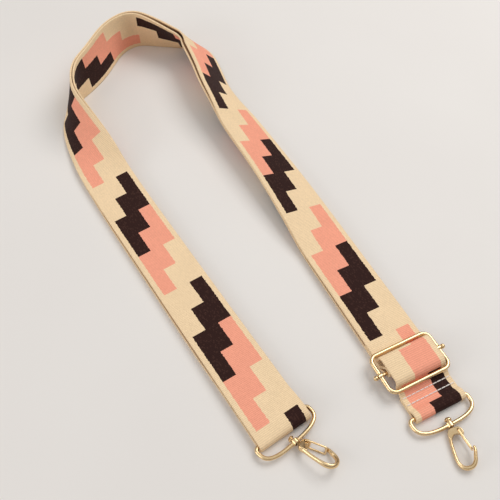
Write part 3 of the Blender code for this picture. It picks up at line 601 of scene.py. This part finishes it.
def anchor_profile():
    """Path of the sewn end loop round the centre bar: lower strand, loop and sewn tail."""
    low = FRAME_HEIGHT - ANCHOR_RADIUS
    high = FRAME_HEIGHT + ANCHOR_RADIUS
    tail = HALF_WEB + LAYER_PITCH
    ramp_end = -ANCHOR_RADIUS - ANCHOR_RAMP
    corners = [(0, -ANCHOR_TAIL, HALF_WEB), (0, ramp_end + LAYER_PITCH / 2, HALF_WEB),
               (0, ramp_end + LAYER_PITCH / 2 + ANCHOR_RISE, low), (0, ANCHOR_RADIUS, low),
               (0, ANCHOR_RADIUS, high), (0, -ANCHOR_RADIUS, high),
               (0, ramp_end, tail), (0, -ANCHOR_TAIL + LAYER_PITCH, tail)]
    bend = ANCHOR_RADIUS * FULL_BEND_SHARE
    return fillet_path(corners, [LAYER_PITCH, HALF_WEB, bend, bend, LAYER_PITCH, LAYER_PITCH])


def make_webbing(route, materials):
    """The one length of webbing, cut only where a piece of it moves with the adjuster."""
    slider, ahead, inward = end_basis(route, SLIDER_DISTANCE)
    hump_path, tab_path = hump_profiles()
    loop = join_stations(route_stations(route, STRAND_START, LEFT_POCKET, 1), fold_stations(route),
                         route_stations(route, LEFT_POCKET, STRAND_START, -1))
    hump_start = upper_strip(SLIDER_DISTANCE - HUMP_REACH)
    hump = bend_stations(hump_path, slider, ahead, inward, 1,
                         lambda run: hump_start - run * HUMP_PATTERN_SHARE)
    upper = join_stations(route_stations(route, STRAND_START, SLIDER_DISTANCE - HUMP_REACH, 1), hump)
    tab_start = hump[3][-1]
    tab = bend_stations(tab_path, slider, ahead, inward, 1, lambda run: tab_start - run)
    anchor_start = lower_strip(SLIDER_DISTANCE - ANCHOR_TAIL)
    anchor = bend_stations(anchor_profile(), slider, ahead, inward, -1,
                           lambda run: anchor_start + run)
    lower = join_stations(route_stations(route, STRAND_START, SLIDER_DISTANCE - ANCHOR_TAIL, -1),
                          anchor)
    strips = {"strap_loop": loop, "upper_strand": upper, "lower_strand": lower, "sewn_tab": tab}
    return {name: (webbing(name + "_webbing", stations, materials), path_length(stations))
            for name, stations in strips.items()}


def path_length(stations):
    return float(np.linalg.norm(np.diff(stations[0], axis=0), axis=1).sum())


# Metal pieces

def bridge_rings(rings, closed):
    """Vertices and faces of a tube through rings of points, capped unless it closes on itself."""
    count = len(rings[0])
    vertices = [point for ring in rings for point in ring]
    faces = []
    spans = len(rings) if closed else len(rings) - 1
    for k in range(spans):
        here = k * count
        there = (k + 1) % len(rings) * count
        for j in range(count):
            after = (j + 1) % count
            faces.append((here + j, here + after, there + after, there + j))
    if not closed:
        last = (len(rings) - 1) * count
        faces.append(tuple(range(count - 1, -1, -1)))
        faces.append(tuple(range(last, last + count)))
    return vertices, faces


def sweep_mesh(points, flat_radii, deep_radii, normal, sides, closed):
    """Rod along a path: flat radius across it, deep radius along the carried normal."""
    path = [Vector(p) for p in points]
    count = len(path)
    carried = Vector(normal)
    rings = []
    for k in range(count):
        if closed:
            ahead = path[(k + 1) % count] - path[k - 1]
        else:
            ahead = path[min(k + 1, count - 1)] - path[max(k - 1, 0)]
        ahead.normalize()
        carried = (carried - ahead * carried.dot(ahead)).normalized()
        across = ahead.cross(carried)
        rings.append([path[k]
                      + across * (flat_radii[k] * math.cos(2 * math.pi * (j + 0.5) / sides))
                      + carried * (deep_radii[k] * math.sin(2 * math.pi * (j + 0.5) / sides))
                      for j in range(sides)])
    return bridge_rings(rings, closed)


def round_rod(points, radius, normal, sides, closed):
    radii = [radius] * len(points)
    return sweep_mesh(points, radii, radii, normal, sides, closed)


def turned_mesh(profile, axis, closed=False):
    """Solid turned about an axis through the origin, from (place along, radius) points."""
    along = Vector(axis).normalized()
    side = along.orthogonal().normalized()
    other = along.cross(side)
    rings = []
    for place, radius in profile:
        ring = []
        for j in range(TURNED_SIDES):
            angle = 2 * math.pi * j / TURNED_SIDES
            ring.append(along * place + (side * math.cos(angle) + other * math.sin(angle)) * radius)
        rings.append(ring)
    return bridge_rings(rings, closed)


def moved(mesh_data, offset):
    vertices, faces = mesh_data
    return [Vector(v) + Vector(offset) for v in vertices], faces


def solid(name, mesh_data):
    mesh = bpy.data.meshes.new(name)
    mesh.from_pydata([tuple(v) for v in mesh_data[0]], [], mesh_data[1])
    turn_outward(mesh)
    return link(name, mesh)


def evaluated_mesh(piece):
    """The piece's mesh with its modifiers applied."""
    bpy.context.view_layer.update()
    graph = bpy.context.evaluated_depsgraph_get()
    return bpy.data.meshes.new_from_object(piece.evaluated_get(graph))


def apply_modifiers(piece):
    mesh = evaluated_mesh(piece)
    piece.modifiers.clear()
    piece.data = mesh


def combine(piece, tool_data, operation):
    """One exact Boolean of a tool on the piece. The tool is removed."""
    tool = solid("tool", tool_data)
    modifier = piece.modifiers.new(operation, "BOOLEAN")
    modifier.operation = operation
    modifier.solver = "EXACT"
    modifier.object = tool
    apply_modifiers(piece)
    bpy.data.objects.remove(tool, do_unlink=True)


def bore_hole(piece, half_length, radius, axis, place):
    """Cuts a round hole that runs on past both faces."""
    reach = half_length * HOLE_OVERRUN_SHARE
    combine(piece, moved(turned_mesh(((-reach, radius), (reach, radius)), axis), place), "DIFFERENCE")


def finish_metal(piece, matrix, material):
    """Puts a metal piece in its place, shaded smooth up to its real edges."""
    piece.data.transform(matrix)
    piece.data.materials.clear()
    piece.data.materials.append(material)
    piece.data.shade_smooth()
    piece.data.set_sharp_from_angle(angle=math.radians(METAL_SHARP_ANGLE))
    return piece


def joint_line(name):
    """Place and direction of a CAD joint."""
    joint = joint_row(name)
    return Vector(joint["pos_m"]), Vector(joint["axis"]).normalized()


def basis(x, y, z, origin):
    """Matrix of a frame with these axes at the origin given."""
    matrix = Matrix((x, y, z)).transposed().to_4x4()
    return Matrix.Translation(origin) @ matrix


def end_matrices(side):
    """Frames of the ring, the hook and the gate of one end, from the three CAD joints."""
    ring_at, ring_x = joint_line(side + "_ring_swing")
    hook_at, hook_y = joint_line(side + "_hook_swivel")
    gate_at, gate_z = joint_line(side + "_gate_swing")
    ring_y = (hook_at - ring_at).normalized()
    ring = basis(ring_x, ring_y, ring_x.cross(ring_y), ring_at)
    hook_x = hook_y.cross(gate_z)
    hook = basis(hook_x, hook_y, gate_z, hook_at)
    gate = basis(hook_x, hook_y, gate_z, gate_at)
    return ring, hook, gate


def ring_path():
    """Closed D outline in its own plane: the bar on the X axis, the bow towards +Y."""
    rise = RING_DEPTH - RING_CORNER
    power = 2 / RING_SQUARENESS
    points = []
    for k in range(RING_STEPS + 1):
        angle = math.pi * k / RING_STEPS
        sideways = math.copysign(abs(math.cos(angle)) ** power, math.cos(angle))
        upward = math.sin(angle) ** power if 0 < k < RING_STEPS else 0.0
        points.append((RING_HALF_WIDTH * sideways, RING_CORNER + rise * upward, 0.0))
    corner = RING_HALF_WIDTH - RING_CORNER
    for centre, first in ((-corner, math.pi), (corner, 1.5 * math.pi)):
        for k in range(1, 8):
            angle = first + math.pi / 2 * k / 8
            points.append((centre + RING_CORNER * math.cos(angle),
                           RING_CORNER + RING_CORNER * math.sin(angle), 0.0))
        if centre < 0:
            points += [(-corner, 0.0, 0.0), (corner, 0.0, 0.0)]
    return points


def rounded_barrel(half_length, radius, rounding):
    """Profile of a short barrel with rounded rims."""
    inner = half_length - rounding
    shoulder = rounding * BARREL_SHOULDER_SHARE
    half = [(inner, radius), (inner + shoulder, radius - shoulder), (half_length, radius - rounding)]
    return [(-place, size) for place, size in reversed(half)] + half


def make_ring(side, matrix, material):
    """Ring with a rounded eye in the middle of its bow and the swivel's hole through it."""
    wire = round_rod(ring_path(), RING_WIRE / 2, (0, 0, 1), WIRE_SIDES, closed=True)
    ring = solid(side + "_ring", wire)
    crown = (0.0, RING_DEPTH, 0.0)
    eye = turned_mesh(rounded_barrel(EYE_HALF_LENGTH, EYE_RADIUS, EYE_ROUND), (0, 1, 0))
    combine(ring, moved(eye, crown), "UNION")
    bore_hole(ring, EYE_HALF_LENGTH, POST_RADIUS + POST_PLAY, (0, 1, 0), crown)
    return finish_metal(ring, matrix, material)


def hook_point(shares):
    """Point of the hook's plane from its shares of the spine offset and the reach."""
    return shares[0] * HOOK_SPINE_OFFSET, shares[1] * HOOK_REACH


def hook_rod_mesh():
    """Rod from the plate round the bend to the nose, with a rounded end."""
    rows = [(*hook_point(row), row[2]) for row in HOOK_ROD_SHARES]
    curve = list(smooth_curve(rows, 6))
    tip = curve[-1].copy()
    for drop, size in HOOK_TIP_SHARES:
        end = tip.copy()
        end[1] -= HOOK_ROD_RADIUS * tip[2] * drop
        end[2] *= size
        curve.append(end)
    points = [(x, y, 0.0) for x, y, size in curve]
    flat = [HOOK_ROD_RADIUS * size for x, y, size in curve]
    deep = [HOOK_ROD_HALF_DEPTH * min(size, 1.0) for x, y, size in curve]
    return sweep_mesh(points, flat, deep, (0, 0, 1), ROD_SIDES, closed=False)


def plate_mesh():
    """Flat plate with rounded edges, which starts at the neck."""
    shift = PLATE_START - HOOK_PLATE_SHARES[0][1] * HOOK_REACH
    outline = [hook_point(row) for row in HOOK_PLATE_SHARES]
    closed = np.array([outline[-1]] + outline + outline[:2])
    curve = smooth_curve(closed, 4)[4:-4]
    rings = [[Vector((x, y + shift, z)) for x, y in curve[:-1]]
             for z in (-PLATE_HALF_THICKNESS, PLATE_HALF_THICKNESS)]
    plate = solid("plate", bridge_rings(rings, closed=False))
    bevel = plate.modifiers.new("rounded_edges", "BEVEL")
    bevel.width = PLATE_ROUND
    bevel.segments = PLATE_BEVEL_STEPS
    bevel.limit_method = "ANGLE"
    bevel.angle_limit = math.radians(50)
    apply_modifiers(plate)
    data = plate.data
    mesh_data = ([v.co.copy() for v in data.vertices], [tuple(p.vertices) for p in data.polygons])
    bpy.data.objects.remove(plate, do_unlink=True)
    return mesh_data


def gate_pivot(side):
    """The gate's pivot in the hook's own frame."""
    _, hook, gate = end_matrices(side)
    return hook.inverted() @ gate.translation


def make_hook(side, matrix, material):
    """Cast hook: rod with its nose, plate, swivel post and spread head."""
    hook = solid(side + "_hook", hook_rod_mesh())
    combine(hook, plate_mesh(), "UNION")
    head_start = WASHER_START + WASHER_THICKNESS + SEAT_GAP
    dome = [(-head_start - HEAD_THICKNESS * math.sin(math.radians(angle)),
             HEAD_RADIUS * math.cos(math.radians(angle))) for angle in HEAD_DOME_ANGLES]
    neck = POST_RADIUS * NECK_RADIUS_SHARE
    shaft = ((-head_start, POST_RADIUS), (PLATE_START * NECK_START_SHARE, POST_RADIUS),
             (PLATE_START, neck), (PLATE_START + NECK_LENGTH, neck))
    combine(hook, turned_mesh((*dome, *shaft), (0, 1, 0)), "UNION")
    bore_hole(hook, PLATE_HALF_THICKNESS, GATE_WIRE / 2 + SEAT_GAP, (0, 0, 1), gate_pivot(side))
    return finish_metal(hook, matrix, material)


def make_gate(side, matrix, material):
    """Bent wire loop: in at one side of the plate, round the nose and back."""
    nose_x, nose_y = hook_point(HOOK_ROD_SHARES[-1])
    nose_half = HOOK_ROD_RADIUS * HOOK_ROD_SHARES[-2][2]
    tip = Vector((nose_x + nose_half + SEAT_GAP + GATE_WIRE / 2, GATE_TIP_SHARE * HOOK_REACH, 0.0))
    arm = tip - gate_pivot(side)
    inside = Vector((0.0, 0.0, GATE_WIRE / 2))
    spread = Vector((0.0, 0.0, GATE_HALF_SPREAD))
    path = fillet_path([inside, spread, arm + spread, arm - spread, -spread, -inside],
                       [GATE_BEND] * 4)
    wire = round_rod(path, GATE_WIRE / 2, (1, 0, 0), ROD_SIDES, closed=False)
    return finish_metal(solid(side + "_gate", wire), matrix, material)


def make_washer(side, matrix, material):
    """Loose washer under the post's head, with rounded rims."""
    inner = POST_RADIUS + SEAT_GAP
    near = -WASHER_START
    far = near - WASHER_THICKNESS
    soft = WASHER_THICKNESS * WASHER_ROUND_SHARE
    profile = ((near, inner), (near, WASHER_RADIUS - soft), (near - soft, WASHER_RADIUS),
               (far + soft, WASHER_RADIUS), (far, WASHER_RADIUS - soft), (far, inner))
    washer = solid(side + "_washer", turned_mesh(profile, (0, 1, 0), closed=True))
    return finish_metal(washer, matrix, material)


def slider_matrix():
    rock_at, rock_x = joint_line("adjuster_frame_rock")
    return basis(rock_x, UP.cross(rock_x), UP, rock_at)


def make_frame(matrix, material):
    """Round-cornered wire frame with a lug in the middle of each side."""
    path = []
    centre_x = FRAME_HALF_WIDTH - FRAME_CORNER
    centre_y = FRAME_HALF_LENGTH - FRAME_CORNER
    for quarter, (sx, sy) in enumerate(((1, 1), (-1, 1), (-1, -1), (1, -1))):
        for k in range(CORNER_STEPS + 1):
            angle = math.pi / 2 * (quarter + k / CORNER_STEPS)
            path.append((sx * centre_x + FRAME_CORNER * math.cos(angle),
                         sy * centre_y + FRAME_CORNER * math.sin(angle), 0.0))
    wire = round_rod(path, FRAME_WIRE / 2, (0, 0, 1), WIRE_SIDES, closed=True)
    piece = solid("adjuster_frame", wire)
    lug = turned_mesh(rounded_barrel(LUG_HALF_LENGTH, LUG_RADIUS, LUG_ROUND), (1, 0, 0))
    for sign in (-1, 1):
        place = (sign * FRAME_HALF_WIDTH, 0.0, 0.0)
        combine(piece, moved(lug, place), "UNION")
        bore_hole(piece, LUG_HALF_LENGTH, TENON_RADIUS + SEAT_GAP, (1, 0, 0), place)
    return finish_metal(piece, matrix, material)


def make_centre_bar(matrix, material):
    """Centre bar with a thin tenon through each lug and a spread ball end outside it."""
    shoulder = FRAME_HALF_WIDTH - LUG_HALF_LENGTH - SEAT_GAP
    outside = FRAME_HALF_WIDTH + LUG_HALF_LENGTH + SEAT_GAP
    half = [(shoulder, CENTRE_BAR_RADIUS), (shoulder, TENON_RADIUS), (outside, TENON_RADIUS)]
    for angle in BALL_ANGLES:
        turn = math.radians(angle)
        place = outside + BALL_RADIUS * (math.cos(math.radians(BALL_ANGLES[0])) - math.cos(turn))
        half.append((place, BALL_RADIUS * math.sin(turn)))
    bar = turned_mesh([(-x, r) for x, r in reversed(half)] + half, (1, 0, 0))
    return finish_metal(solid("adjuster_centre_bar", bar), matrix, material)


# Stitches

def stitch_row_tree():
    """Row of arched stitches: points along X, one bent thread on each, made real."""
    tree = bpy.data.node_groups.new("stitch_row", "GeometryNodeTree")
    tree.interface.new_socket("Geometry", in_out="OUTPUT", socket_type="NodeSocketGeometry")
    for label in ("Stitch Count", "Stitch Pitch", "Stitch Length", "Stitch Arch", "Thread Radius"):
        kind = "NodeSocketInt" if label == "Stitch Count" else "NodeSocketFloat"
        tree.interface.new_socket(label, in_out="INPUT", socket_type=kind)
    tree.interface.new_socket("Thread", in_out="INPUT", socket_type="NodeSocketMaterial")
    sizes = add_node(tree, "NodeGroupInput").outputs
    spans = math_node(tree, "SUBTRACT", sizes["Stitch Count"], 1.0)
    run = math_node(tree, "MULTIPLY", spans, sizes["Stitch Pitch"])
    first = spot_node(tree, {0: math_node(tree, "MULTIPLY", run, -0.5)})
    line = first_output(tree, "GeometryNodeMeshLine", {
        "Count": sizes["Stitch Count"], "Start Location": first,
        "Offset": spot_node(tree, {0: sizes["Stitch Pitch"]})}, {"mode": "OFFSET"})
    half = math_node(tree, "MULTIPLY", sizes["Stitch Length"], 0.5)
    arc = first_output(tree, "GeometryNodeCurveQuadraticBezier", {
        "Resolution": ARC_SIDES, "Start": spot_node(tree, {0: math_node(tree, "MULTIPLY", half, -1.0)}),
        "Middle": spot_node(tree, {2: sizes["Stitch Arch"]}), "End": spot_node(tree, {0: half})})
    ring = first_output(tree, "GeometryNodeCurvePrimitiveCircle", {
        "Resolution": THREAD_SIDES, "Radius": sizes["Thread Radius"]})
    thread = first_output(tree, "GeometryNodeCurveToMesh", {
        "Curve": arc, "Profile Curve": ring, "Fill Caps": True})
    row = first_output(tree, "GeometryNodeInstanceOnPoints", {"Points": line, "Instance": thread})
    real = first_output(tree, "GeometryNodeRealizeInstances", {0: row})
    smooth = first_output(tree, "GeometryNodeSetShadeSmooth", {0: real})
    dressed = first_output(tree, "GeometryNodeSetMaterial", {
        "Geometry": smooth, "Material": sizes["Thread"]})
    add_node(tree, "NodeGroupOutput", {0: dressed})
    return tree


def stitch_row(name, tree, origin, ahead, inward, place, thread):
    """One row of stitches across the webbing, on its upper face."""
    base = link(name + "_base", bpy.data.meshes.new(name + "_base"))
    modifier = base.modifiers.new("stitches", "NODES")
    modifier.node_group = tree
    half_run = WEB_WIDTH / 2 - STITCH_MARGIN - STITCH_LENGTH / 2
    values = {
        "Stitch Count": int(2 * half_run / STITCH_PITCH) + 1,
        "Stitch Pitch": STITCH_PITCH,
        "Stitch Length": STITCH_LENGTH,
        "Stitch Arch": STITCH_ARCH,
        "Thread Radius": THREAD_RADIUS,
        "Thread": thread,
    }
    for item in tree.interface.items_tree:
        if item.in_out == "INPUT":
            modifier[item.identifier] = values[item.name]
    mesh = evaluated_mesh(base)
    bpy.data.objects.remove(base, do_unlink=True)
    at = Vector(origin) + Vector(ahead) * place + Vector(inward) * WEB_DRIFT
    at.z += WEB_THICKNESS + LAYER_PITCH + THREAD_RADIUS * THREAD_RISE_SHARE
    mesh.transform(basis(Vector(inward), Vector(ahead), UP, at))
    return link(name, mesh)


# Materials

def linear(code):
    """Linear colour of an sRGB hex value."""
    channels = [int(code[k:k + 2], 16) / 255 for k in (1, 3, 5)]
    return tuple(c / 12.92 if c <= 0.04045 else ((c + 0.055) / 1.055) ** 2.4
                 for c in channels) + (1.0,)


def fill_inputs(tree, node, inputs):
    """Sets each named input to a value, or links it from a socket."""
    for key, value in inputs.items():
        if isinstance(value, bpy.types.NodeSocket):
            tree.links.new(value, node.inputs[key])
        else:
            node.inputs[key].default_value = value


def add_node(tree, kind, inputs=None, settings=None):
    node = tree.nodes.new(kind)
    for key, value in (settings or {}).items():
        setattr(node, key, value)
    fill_inputs(tree, node, inputs or {})
    return node


def first_output(tree, kind, inputs, settings=None):
    return add_node(tree, kind, inputs, settings).outputs[0]


def new_material(name):
    material = bpy.data.materials.new(name)
    material.use_nodes = True
    return material, material.node_tree, material.node_tree.nodes["Principled BSDF"]


def math_node(tree, operation, first, second=0.0):
    return first_output(tree, "ShaderNodeMath", {0: first, 1: second}, {"operation": operation})


def scaled_node(tree, value, factor, offset):
    """The value times the factor, plus the offset."""
    return first_output(tree, "ShaderNodeMath", {0: value, 1: factor, 2: offset},
                        {"operation": "MULTIPLY_ADD"})


def spot_node(tree, parts):
    """Vector made of the parts given; the others are 0."""
    return first_output(tree, "ShaderNodeCombineXYZ", parts)


def noise_node(tree, place, scale, detail):
    return first_output(tree, "ShaderNodeTexNoise",
                        {"Vector": place, "Scale": scale, "Detail": detail})


def bump_node(tree, height, distance, strength):
    return first_output(tree, "ShaderNodeBump",
                        {"Height": height, "Distance": distance, "Strength": strength})


def object_place(tree):
    return add_node(tree, "ShaderNodeTexCoord").outputs["Object"]


def strip_places(tree):
    """Place across and along the strip in millimetres."""
    place = first_output(tree, "ShaderNodeUVMap", {}, {"uv_map": "strip"})
    split = add_node(tree, "ShaderNodeSeparateXYZ", {0: place}).outputs
    return (math_node(tree, "MULTIPLY", split[0], 1 / MM),
            math_node(tree, "MULTIPLY", split[1], 1 / MM))


def thread_cells(tree, across, along):
    """Rib and warp thread numbers, and one random value for each crossing of the two."""
    rib = math_node(tree, "FLOOR", math_node(tree, "DIVIDE", along, RIB_PITCH_MM))
    warp = math_node(tree, "FLOOR", math_node(tree, "DIVIDE", across, WARP_PITCH_MM))
    cell = spot_node(tree, {0: warp, 1: rib})
    crossing = first_output(tree, "ShaderNodeTexWhiteNoise", {"Vector": cell},
                            {"noise_dimensions": "2D"})
    row = first_output(tree, "ShaderNodeTexWhiteNoise", {"W": rib}, {"noise_dimensions": "1D"})
    return rib, crossing, row


def weave_height(tree, across, along, rib):
    """Rounded cross ribs, with the warp threads that pass over them set off row by row."""
    ribs = math_node(tree, "SINE", math_node(tree, "MULTIPLY", along, 2 * math.pi / RIB_PITCH_MM))
    set_off = math_node(tree, "MULTIPLY", rib, math.pi)
    warps = math_node(tree, "SINE", scaled_node(tree, across, 2 * math.pi / WARP_PITCH_MM, set_off))
    return scaled_node(tree, ribs, RIB_RISE, scaled_node(tree, warps, WARP_RISE, 0.5))


def block_masks(tree, across, along, row):
    """1 where the pattern is pink and 1 where it is dark. The edges step with the ribs."""
    column_mm = COLUMN_WIDTH / MM
    shaken = scaled_node(tree, row, EDGE_SHAKE_MM, across)
    from_edge = math_node(tree, "SUBTRACT", 1.5 * column_mm + EDGE_SHIFT_MM, shaken)
    column = math_node(tree, "FLOOR", math_node(tree, "DIVIDE", from_edge, column_mm))
    steps = math_node(tree, "SUBTRACT", math_node(tree, "DIVIDE", along, PATTERN_STEP / MM), column)
    # whole repeats added keep the place positive
    positive = math_node(tree, "ADD", steps, 100.0 * REPEAT_STEPS)
    repeats = math_node(tree, "DIVIDE", positive, REPEAT_STEPS)
    phase = math_node(tree, "MULTIPLY", math_node(tree, "FRACT", repeats), REPEAT_STEPS)
    from_middle = math_node(tree, "ABSOLUTE", math_node(tree, "SUBTRACT", column, 1.0))
    inside = math_node(tree, "LESS_THAN", from_middle, 1.5)
    pink = math_node(tree, "MULTIPLY", math_node(tree, "LESS_THAN", phase, BLOCK_STEPS), inside)
    dark = math_node(tree, "GREATER_THAN", phase, REPEAT_STEPS - BLOCK_STEPS)
    dark = math_node(tree, "MULTIPLY", dark, inside)
    return pink, dark


def mix_colour(tree, share, first, second, blend="MIX"):
    """Mix of two colours; the sockets are numbered, because each kind of mix has its own A and B."""
    settings = {"data_type": "RGBA", "blend_type": blend}
    return add_node(tree, "ShaderNodeMix", {0: share, 6: first, 7: second}, settings).outputs[2]


def woven_webbing(name, cream, pink, dark, reverse):
    """Jacquard polyester webbing: fine cross ribs, matt, with a soft sheen on the thread crowns, and
    painted shade in the grooves between the ribs.

    Each crossing of rib and warp is a little lighter or darker, which gives the eye a fine grain,
    and the dark blocks show a few paler threads. The reverse shows mixed floats, so it is duller.
    """
    material, tree, shader = new_material(name)
    across, along = strip_places(tree)
    rib, crossing, row = thread_cells(tree, across, along)
    height = weave_height(tree, across, along, rib)
    pink_mask, dark_mask = block_masks(tree, across, along, row)
    colour = mix_colour(tree, pink_mask, linear(cream), linear(pink))
    speck = math_node(tree, "MULTIPLY", math_node(tree, "GREATER_THAN", crossing, 0.84), 0.14)
    deep = mix_colour(tree, speck, linear(dark), linear(DARK_FLECK))
    colour = mix_colour(tree, dark_mask, colour, deep)
    if reverse:
        colour = mix_colour(tree, 0.45, colour, linear(BACK_FLOAT))
    # Painted shade: the colour follows the weave's height, darker in the grooves between ribs and warp
    # threads and lighter on their crowns.
    shade = scaled_node(tree, height, 0.26, 0.885)
    grain = scaled_node(tree, crossing, 0.08, 0.955)
    cloud = noise_node(tree, spot_node(tree, {0: across, 1: along}), 0.06, 2.0)
    drift = scaled_node(tree, cloud, 0.10, 0.95)
    tone = math_node(tree, "MULTIPLY", math_node(tree, "MULTIPLY", shade, grain), drift)
    grey = first_output(tree, "ShaderNodeCombineColor", {0: tone, 1: tone, 2: tone})
    colour = mix_colour(tree, 1.0, colour, grey, "MULTIPLY")
    fill_inputs(tree, shader, {
        "Base Color": colour, "Roughness": scaled_node(tree, height, -0.12, 0.9),
        "Normal": bump_node(tree, height, 0.16 * MM, 0.8),
        "Sheen Weight": 0.05, "Sheen Roughness": 0.4, "Specular IOR Level": 0.25})
    return material


def polyester_thread():
    """Twisted polyester sewing thread: pale, slightly glossy, its two plies show as fine bands, with
    painted shade in the grooves between them and painted light on their crowns.
    """
    material, tree, shader = new_material("polyester_thread")
    turned = first_output(tree, "ShaderNodeMapping", {
        "Vector": object_place(tree), "Rotation": (0.0, 0.0, math.radians(20))})
    wave = {"Vector": turned, "Scale": PLY_WAVE_SCALE, "Distortion": 0.6}
    plies = add_node(tree, "ShaderNodeTexWave", wave, {"bands_direction": "X"}).outputs["Fac"]
    fill_inputs(tree, shader, {
        # Painted shade and light: the colour follows the plies' relief, darker in the grooves and paler
        # on the crowns.
        "Base Color": mix_colour(tree, plies, linear(THREAD_PLY_GROOVE_SHADE), linear(THREAD_PLY_CROWN_LIGHT)),
        "Normal": bump_node(tree, plies, 0.05 * MM, 0.4), "Roughness": 0.55, "Sheen Weight": 0.2})
    return material


def pale_gold_plating():
    """Zinc castings and wire, polished and plated in pale gold: bright, with faint hazy patches."""
    material, tree, shader = new_material("pale_gold_plating")
    haze = noise_node(tree, object_place(tree), 1 / (4.0 * MM), 4.0)
    waves = noise_node(tree, object_place(tree), 1 / (3.0 * MM), 1.0)
    fill_inputs(tree, shader, {
        "Base Color": mix_colour(tree, haze, linear(GOLD_LOW), linear(GOLD_HIGH)), "Metallic": 1.0,
        "Roughness": scaled_node(tree, haze, 0.10, 0.2),
        "Normal": bump_node(tree, waves, 0.02 * MM, 0.1)})
    return material


# Studio

def make_floor():
    """Matt painted floor, pale, with the faintest mottle."""
    material, tree, shader = new_material("matt_floor_paint")
    mottle = noise_node(tree, object_place(tree), 6.0, 3.0)
    colour = mix_colour(tree, mottle, linear(FLOOR_LOW), linear(FLOOR_HIGH))
    fill_inputs(tree, shader, {"Base Color": colour, "Roughness": 0.9})
    corners = [(x * FLOOR_HALF, y * FLOOR_HALF, 0) for x, y in ((-1, -1), (1, -1), (1, 1), (-1, 1))]
    mesh = bpy.data.meshes.new("floor")
    mesh.from_pydata(corners, [], [(0, 1, 2, 3)])
    mesh.materials.append(material)
    floor = link("floor", mesh)


def area_light(name, place, size, power):
    """Rectangular lamp that looks at the origin."""
    lamp = bpy.data.lights.new(name, "AREA")
    lamp.shape = "RECTANGLE"
    lamp.size, lamp.size_y = size
    lamp.energy = power
    light = link(name, lamp)
    light.location = place
    light.rotation_euler = (-Vector(place)).to_track_quat("-Z", "Y").to_euler()


def make_studio():
    """Soft daylight from above, darker near the floor, with a pale backdrop, a key and a fill."""
    world = bpy.data.worlds.new("studio")
    world.use_nodes = True
    tree = world.node_tree
    way = add_node(tree, "ShaderNodeTexCoord").outputs["Generated"]
    height = add_node(tree, "ShaderNodeSeparateXYZ", {0: way}).outputs[2]
    rise = first_output(tree, "ShaderNodeMapRange",
                        {"Value": height, "From Min": GLOW_START, "From Max": GLOW_FULL},
                        {"interpolation_type": "SMOOTHSTEP"})
    glow = mix_colour(tree, rise, linear(LOW_GLOW), linear(HIGH_GLOW))
    seen = add_node(tree, "ShaderNodeLightPath").outputs["Is Camera Ray"]
    fill_inputs(tree, tree.nodes["Background"], {
        "Color": mix_colour(tree, seen, glow, linear(BACKDROP)), "Strength": WORLD_STRENGTH})
    bpy.context.scene.world = world
    area_light("key", **KEY)
    area_light("fill", **FILL)


def make_camera(route):
    data = bpy.data.cameras.new("photo_camera")
    data.sensor_width = SENSOR_WIDTH_MM
    data.lens = CAMERA_FOCAL_SHARE * SENSOR_WIDTH_MM
    data.clip_start = 0.01
    camera = link("photo_camera", data)
    turn = math.radians(CAMERA_ELEVATION)
    target = Vector((*(route["centre"][0][:2] + np.array(VIEW_FROM_ROUTE_START)), 0.0))
    away = Vector((0.0, -math.cos(turn), math.sin(turn)))
    camera.location = target + away * CAMERA_DISTANCE
    camera.rotation_euler = (-away).to_track_quat("-Z", "Y").to_euler()
    bpy.context.scene.camera = camera


def attach_webbing(pieces, route, rows):
    """Says which body each stretch of webbing and each stitch row follows."""
    slider, ahead, _ = end_basis(route, SLIDER_DISTANCE)

    def at(distance):
        return tuple(slider + ahead * (distance - SLIDER_DISTANCE))

    loop, loop_length = pieces["strap_loop"]
    upper, upper_length = pieces["upper_strand"]
    lower, lower_length = pieces["lower_strand"]
    tab, tab_length = pieces["sewn_tab"]
    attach(loop, "strap")
    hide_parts("left_leg_upper_web", "left_leg_lower_web", "left_fold_web",
                "left_turn_outer_web", "left_turn_inner_web", "top_turn_outer_web",
                "top_turn_inner_web", "right_turn_outer_web", "right_turn_inner_web")
    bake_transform(upper)
    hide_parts("right_leg_upper_web", "right_feed_upper_web", "slider_hump_web")
    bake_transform(lower)
    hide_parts("right_leg_lower_web", "right_feed_lower_web", "anchor_loop_web")
    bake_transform(tab)
    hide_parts("right_tab_web")
    for name, piece in rows.items():
        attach(piece, "slider" if name.startswith("anchor") else "strap")
        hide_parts(name)


def attach_metal(piece, body, node):
    """Says which body a metal piece moves with and which CAD solid it stands for."""
    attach(piece, body)
    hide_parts(node)


def make_hardware(gold):
    for side in ("left", "right"):
        ring, hook, gate = end_matrices(side)
        attach_metal(make_ring(side, ring, gold), side + "_ring", side + "_d_ring")
        attach_metal(make_hook(side, hook, gold), side + "_hook", side + "_hook_body")
        attach_metal(make_washer(side, hook, gold), side + "_hook", side + "_swivel_washer")
        attach_metal(make_gate(side, gate, gold), side + "_gate", side + "_gate_wire")
    centre = slider_matrix()
    attach_metal(make_frame(centre, gold), "slider_frame", "slider_frame")
    attach_metal(make_centre_bar(centre, gold), "slider", "slider_centre_bar")


def make_stitches(route, thread):
    slider, ahead, inward = end_basis(route, SLIDER_DISTANCE)
    tree = stitch_row_tree()
    rows = {}
    for group, places in (("tab", TAB_ROWS), ("anchor", ANCHOR_ROWS)):
        for k, place in enumerate(places):
            node = f"{group}_stitches_{k + 1}"
            rows[node] = stitch_row(f"{group}_thread_row_{k + 1}", tree, slider, ahead, inward,
                                    place, thread)
    return rows


def main():
    route = place_route(strap_route())
    make_camera(route)
    outer = woven_webbing("jacquard_webbing", CREAM, PINK, DARK, reverse=False)
    back = woven_webbing("jacquard_webbing_reverse", BACK_CREAM, BACK_PINK, BACK_DARK, reverse=True)
    rows = make_stitches(route, polyester_thread())
    attach_webbing(make_webbing(route, (outer, back)), route, rows)
    make_hardware(pale_gold_plating())
    make_floor()
    make_studio()
    bpy.context.scene.view_settings.view_transform = "Standard"


main()
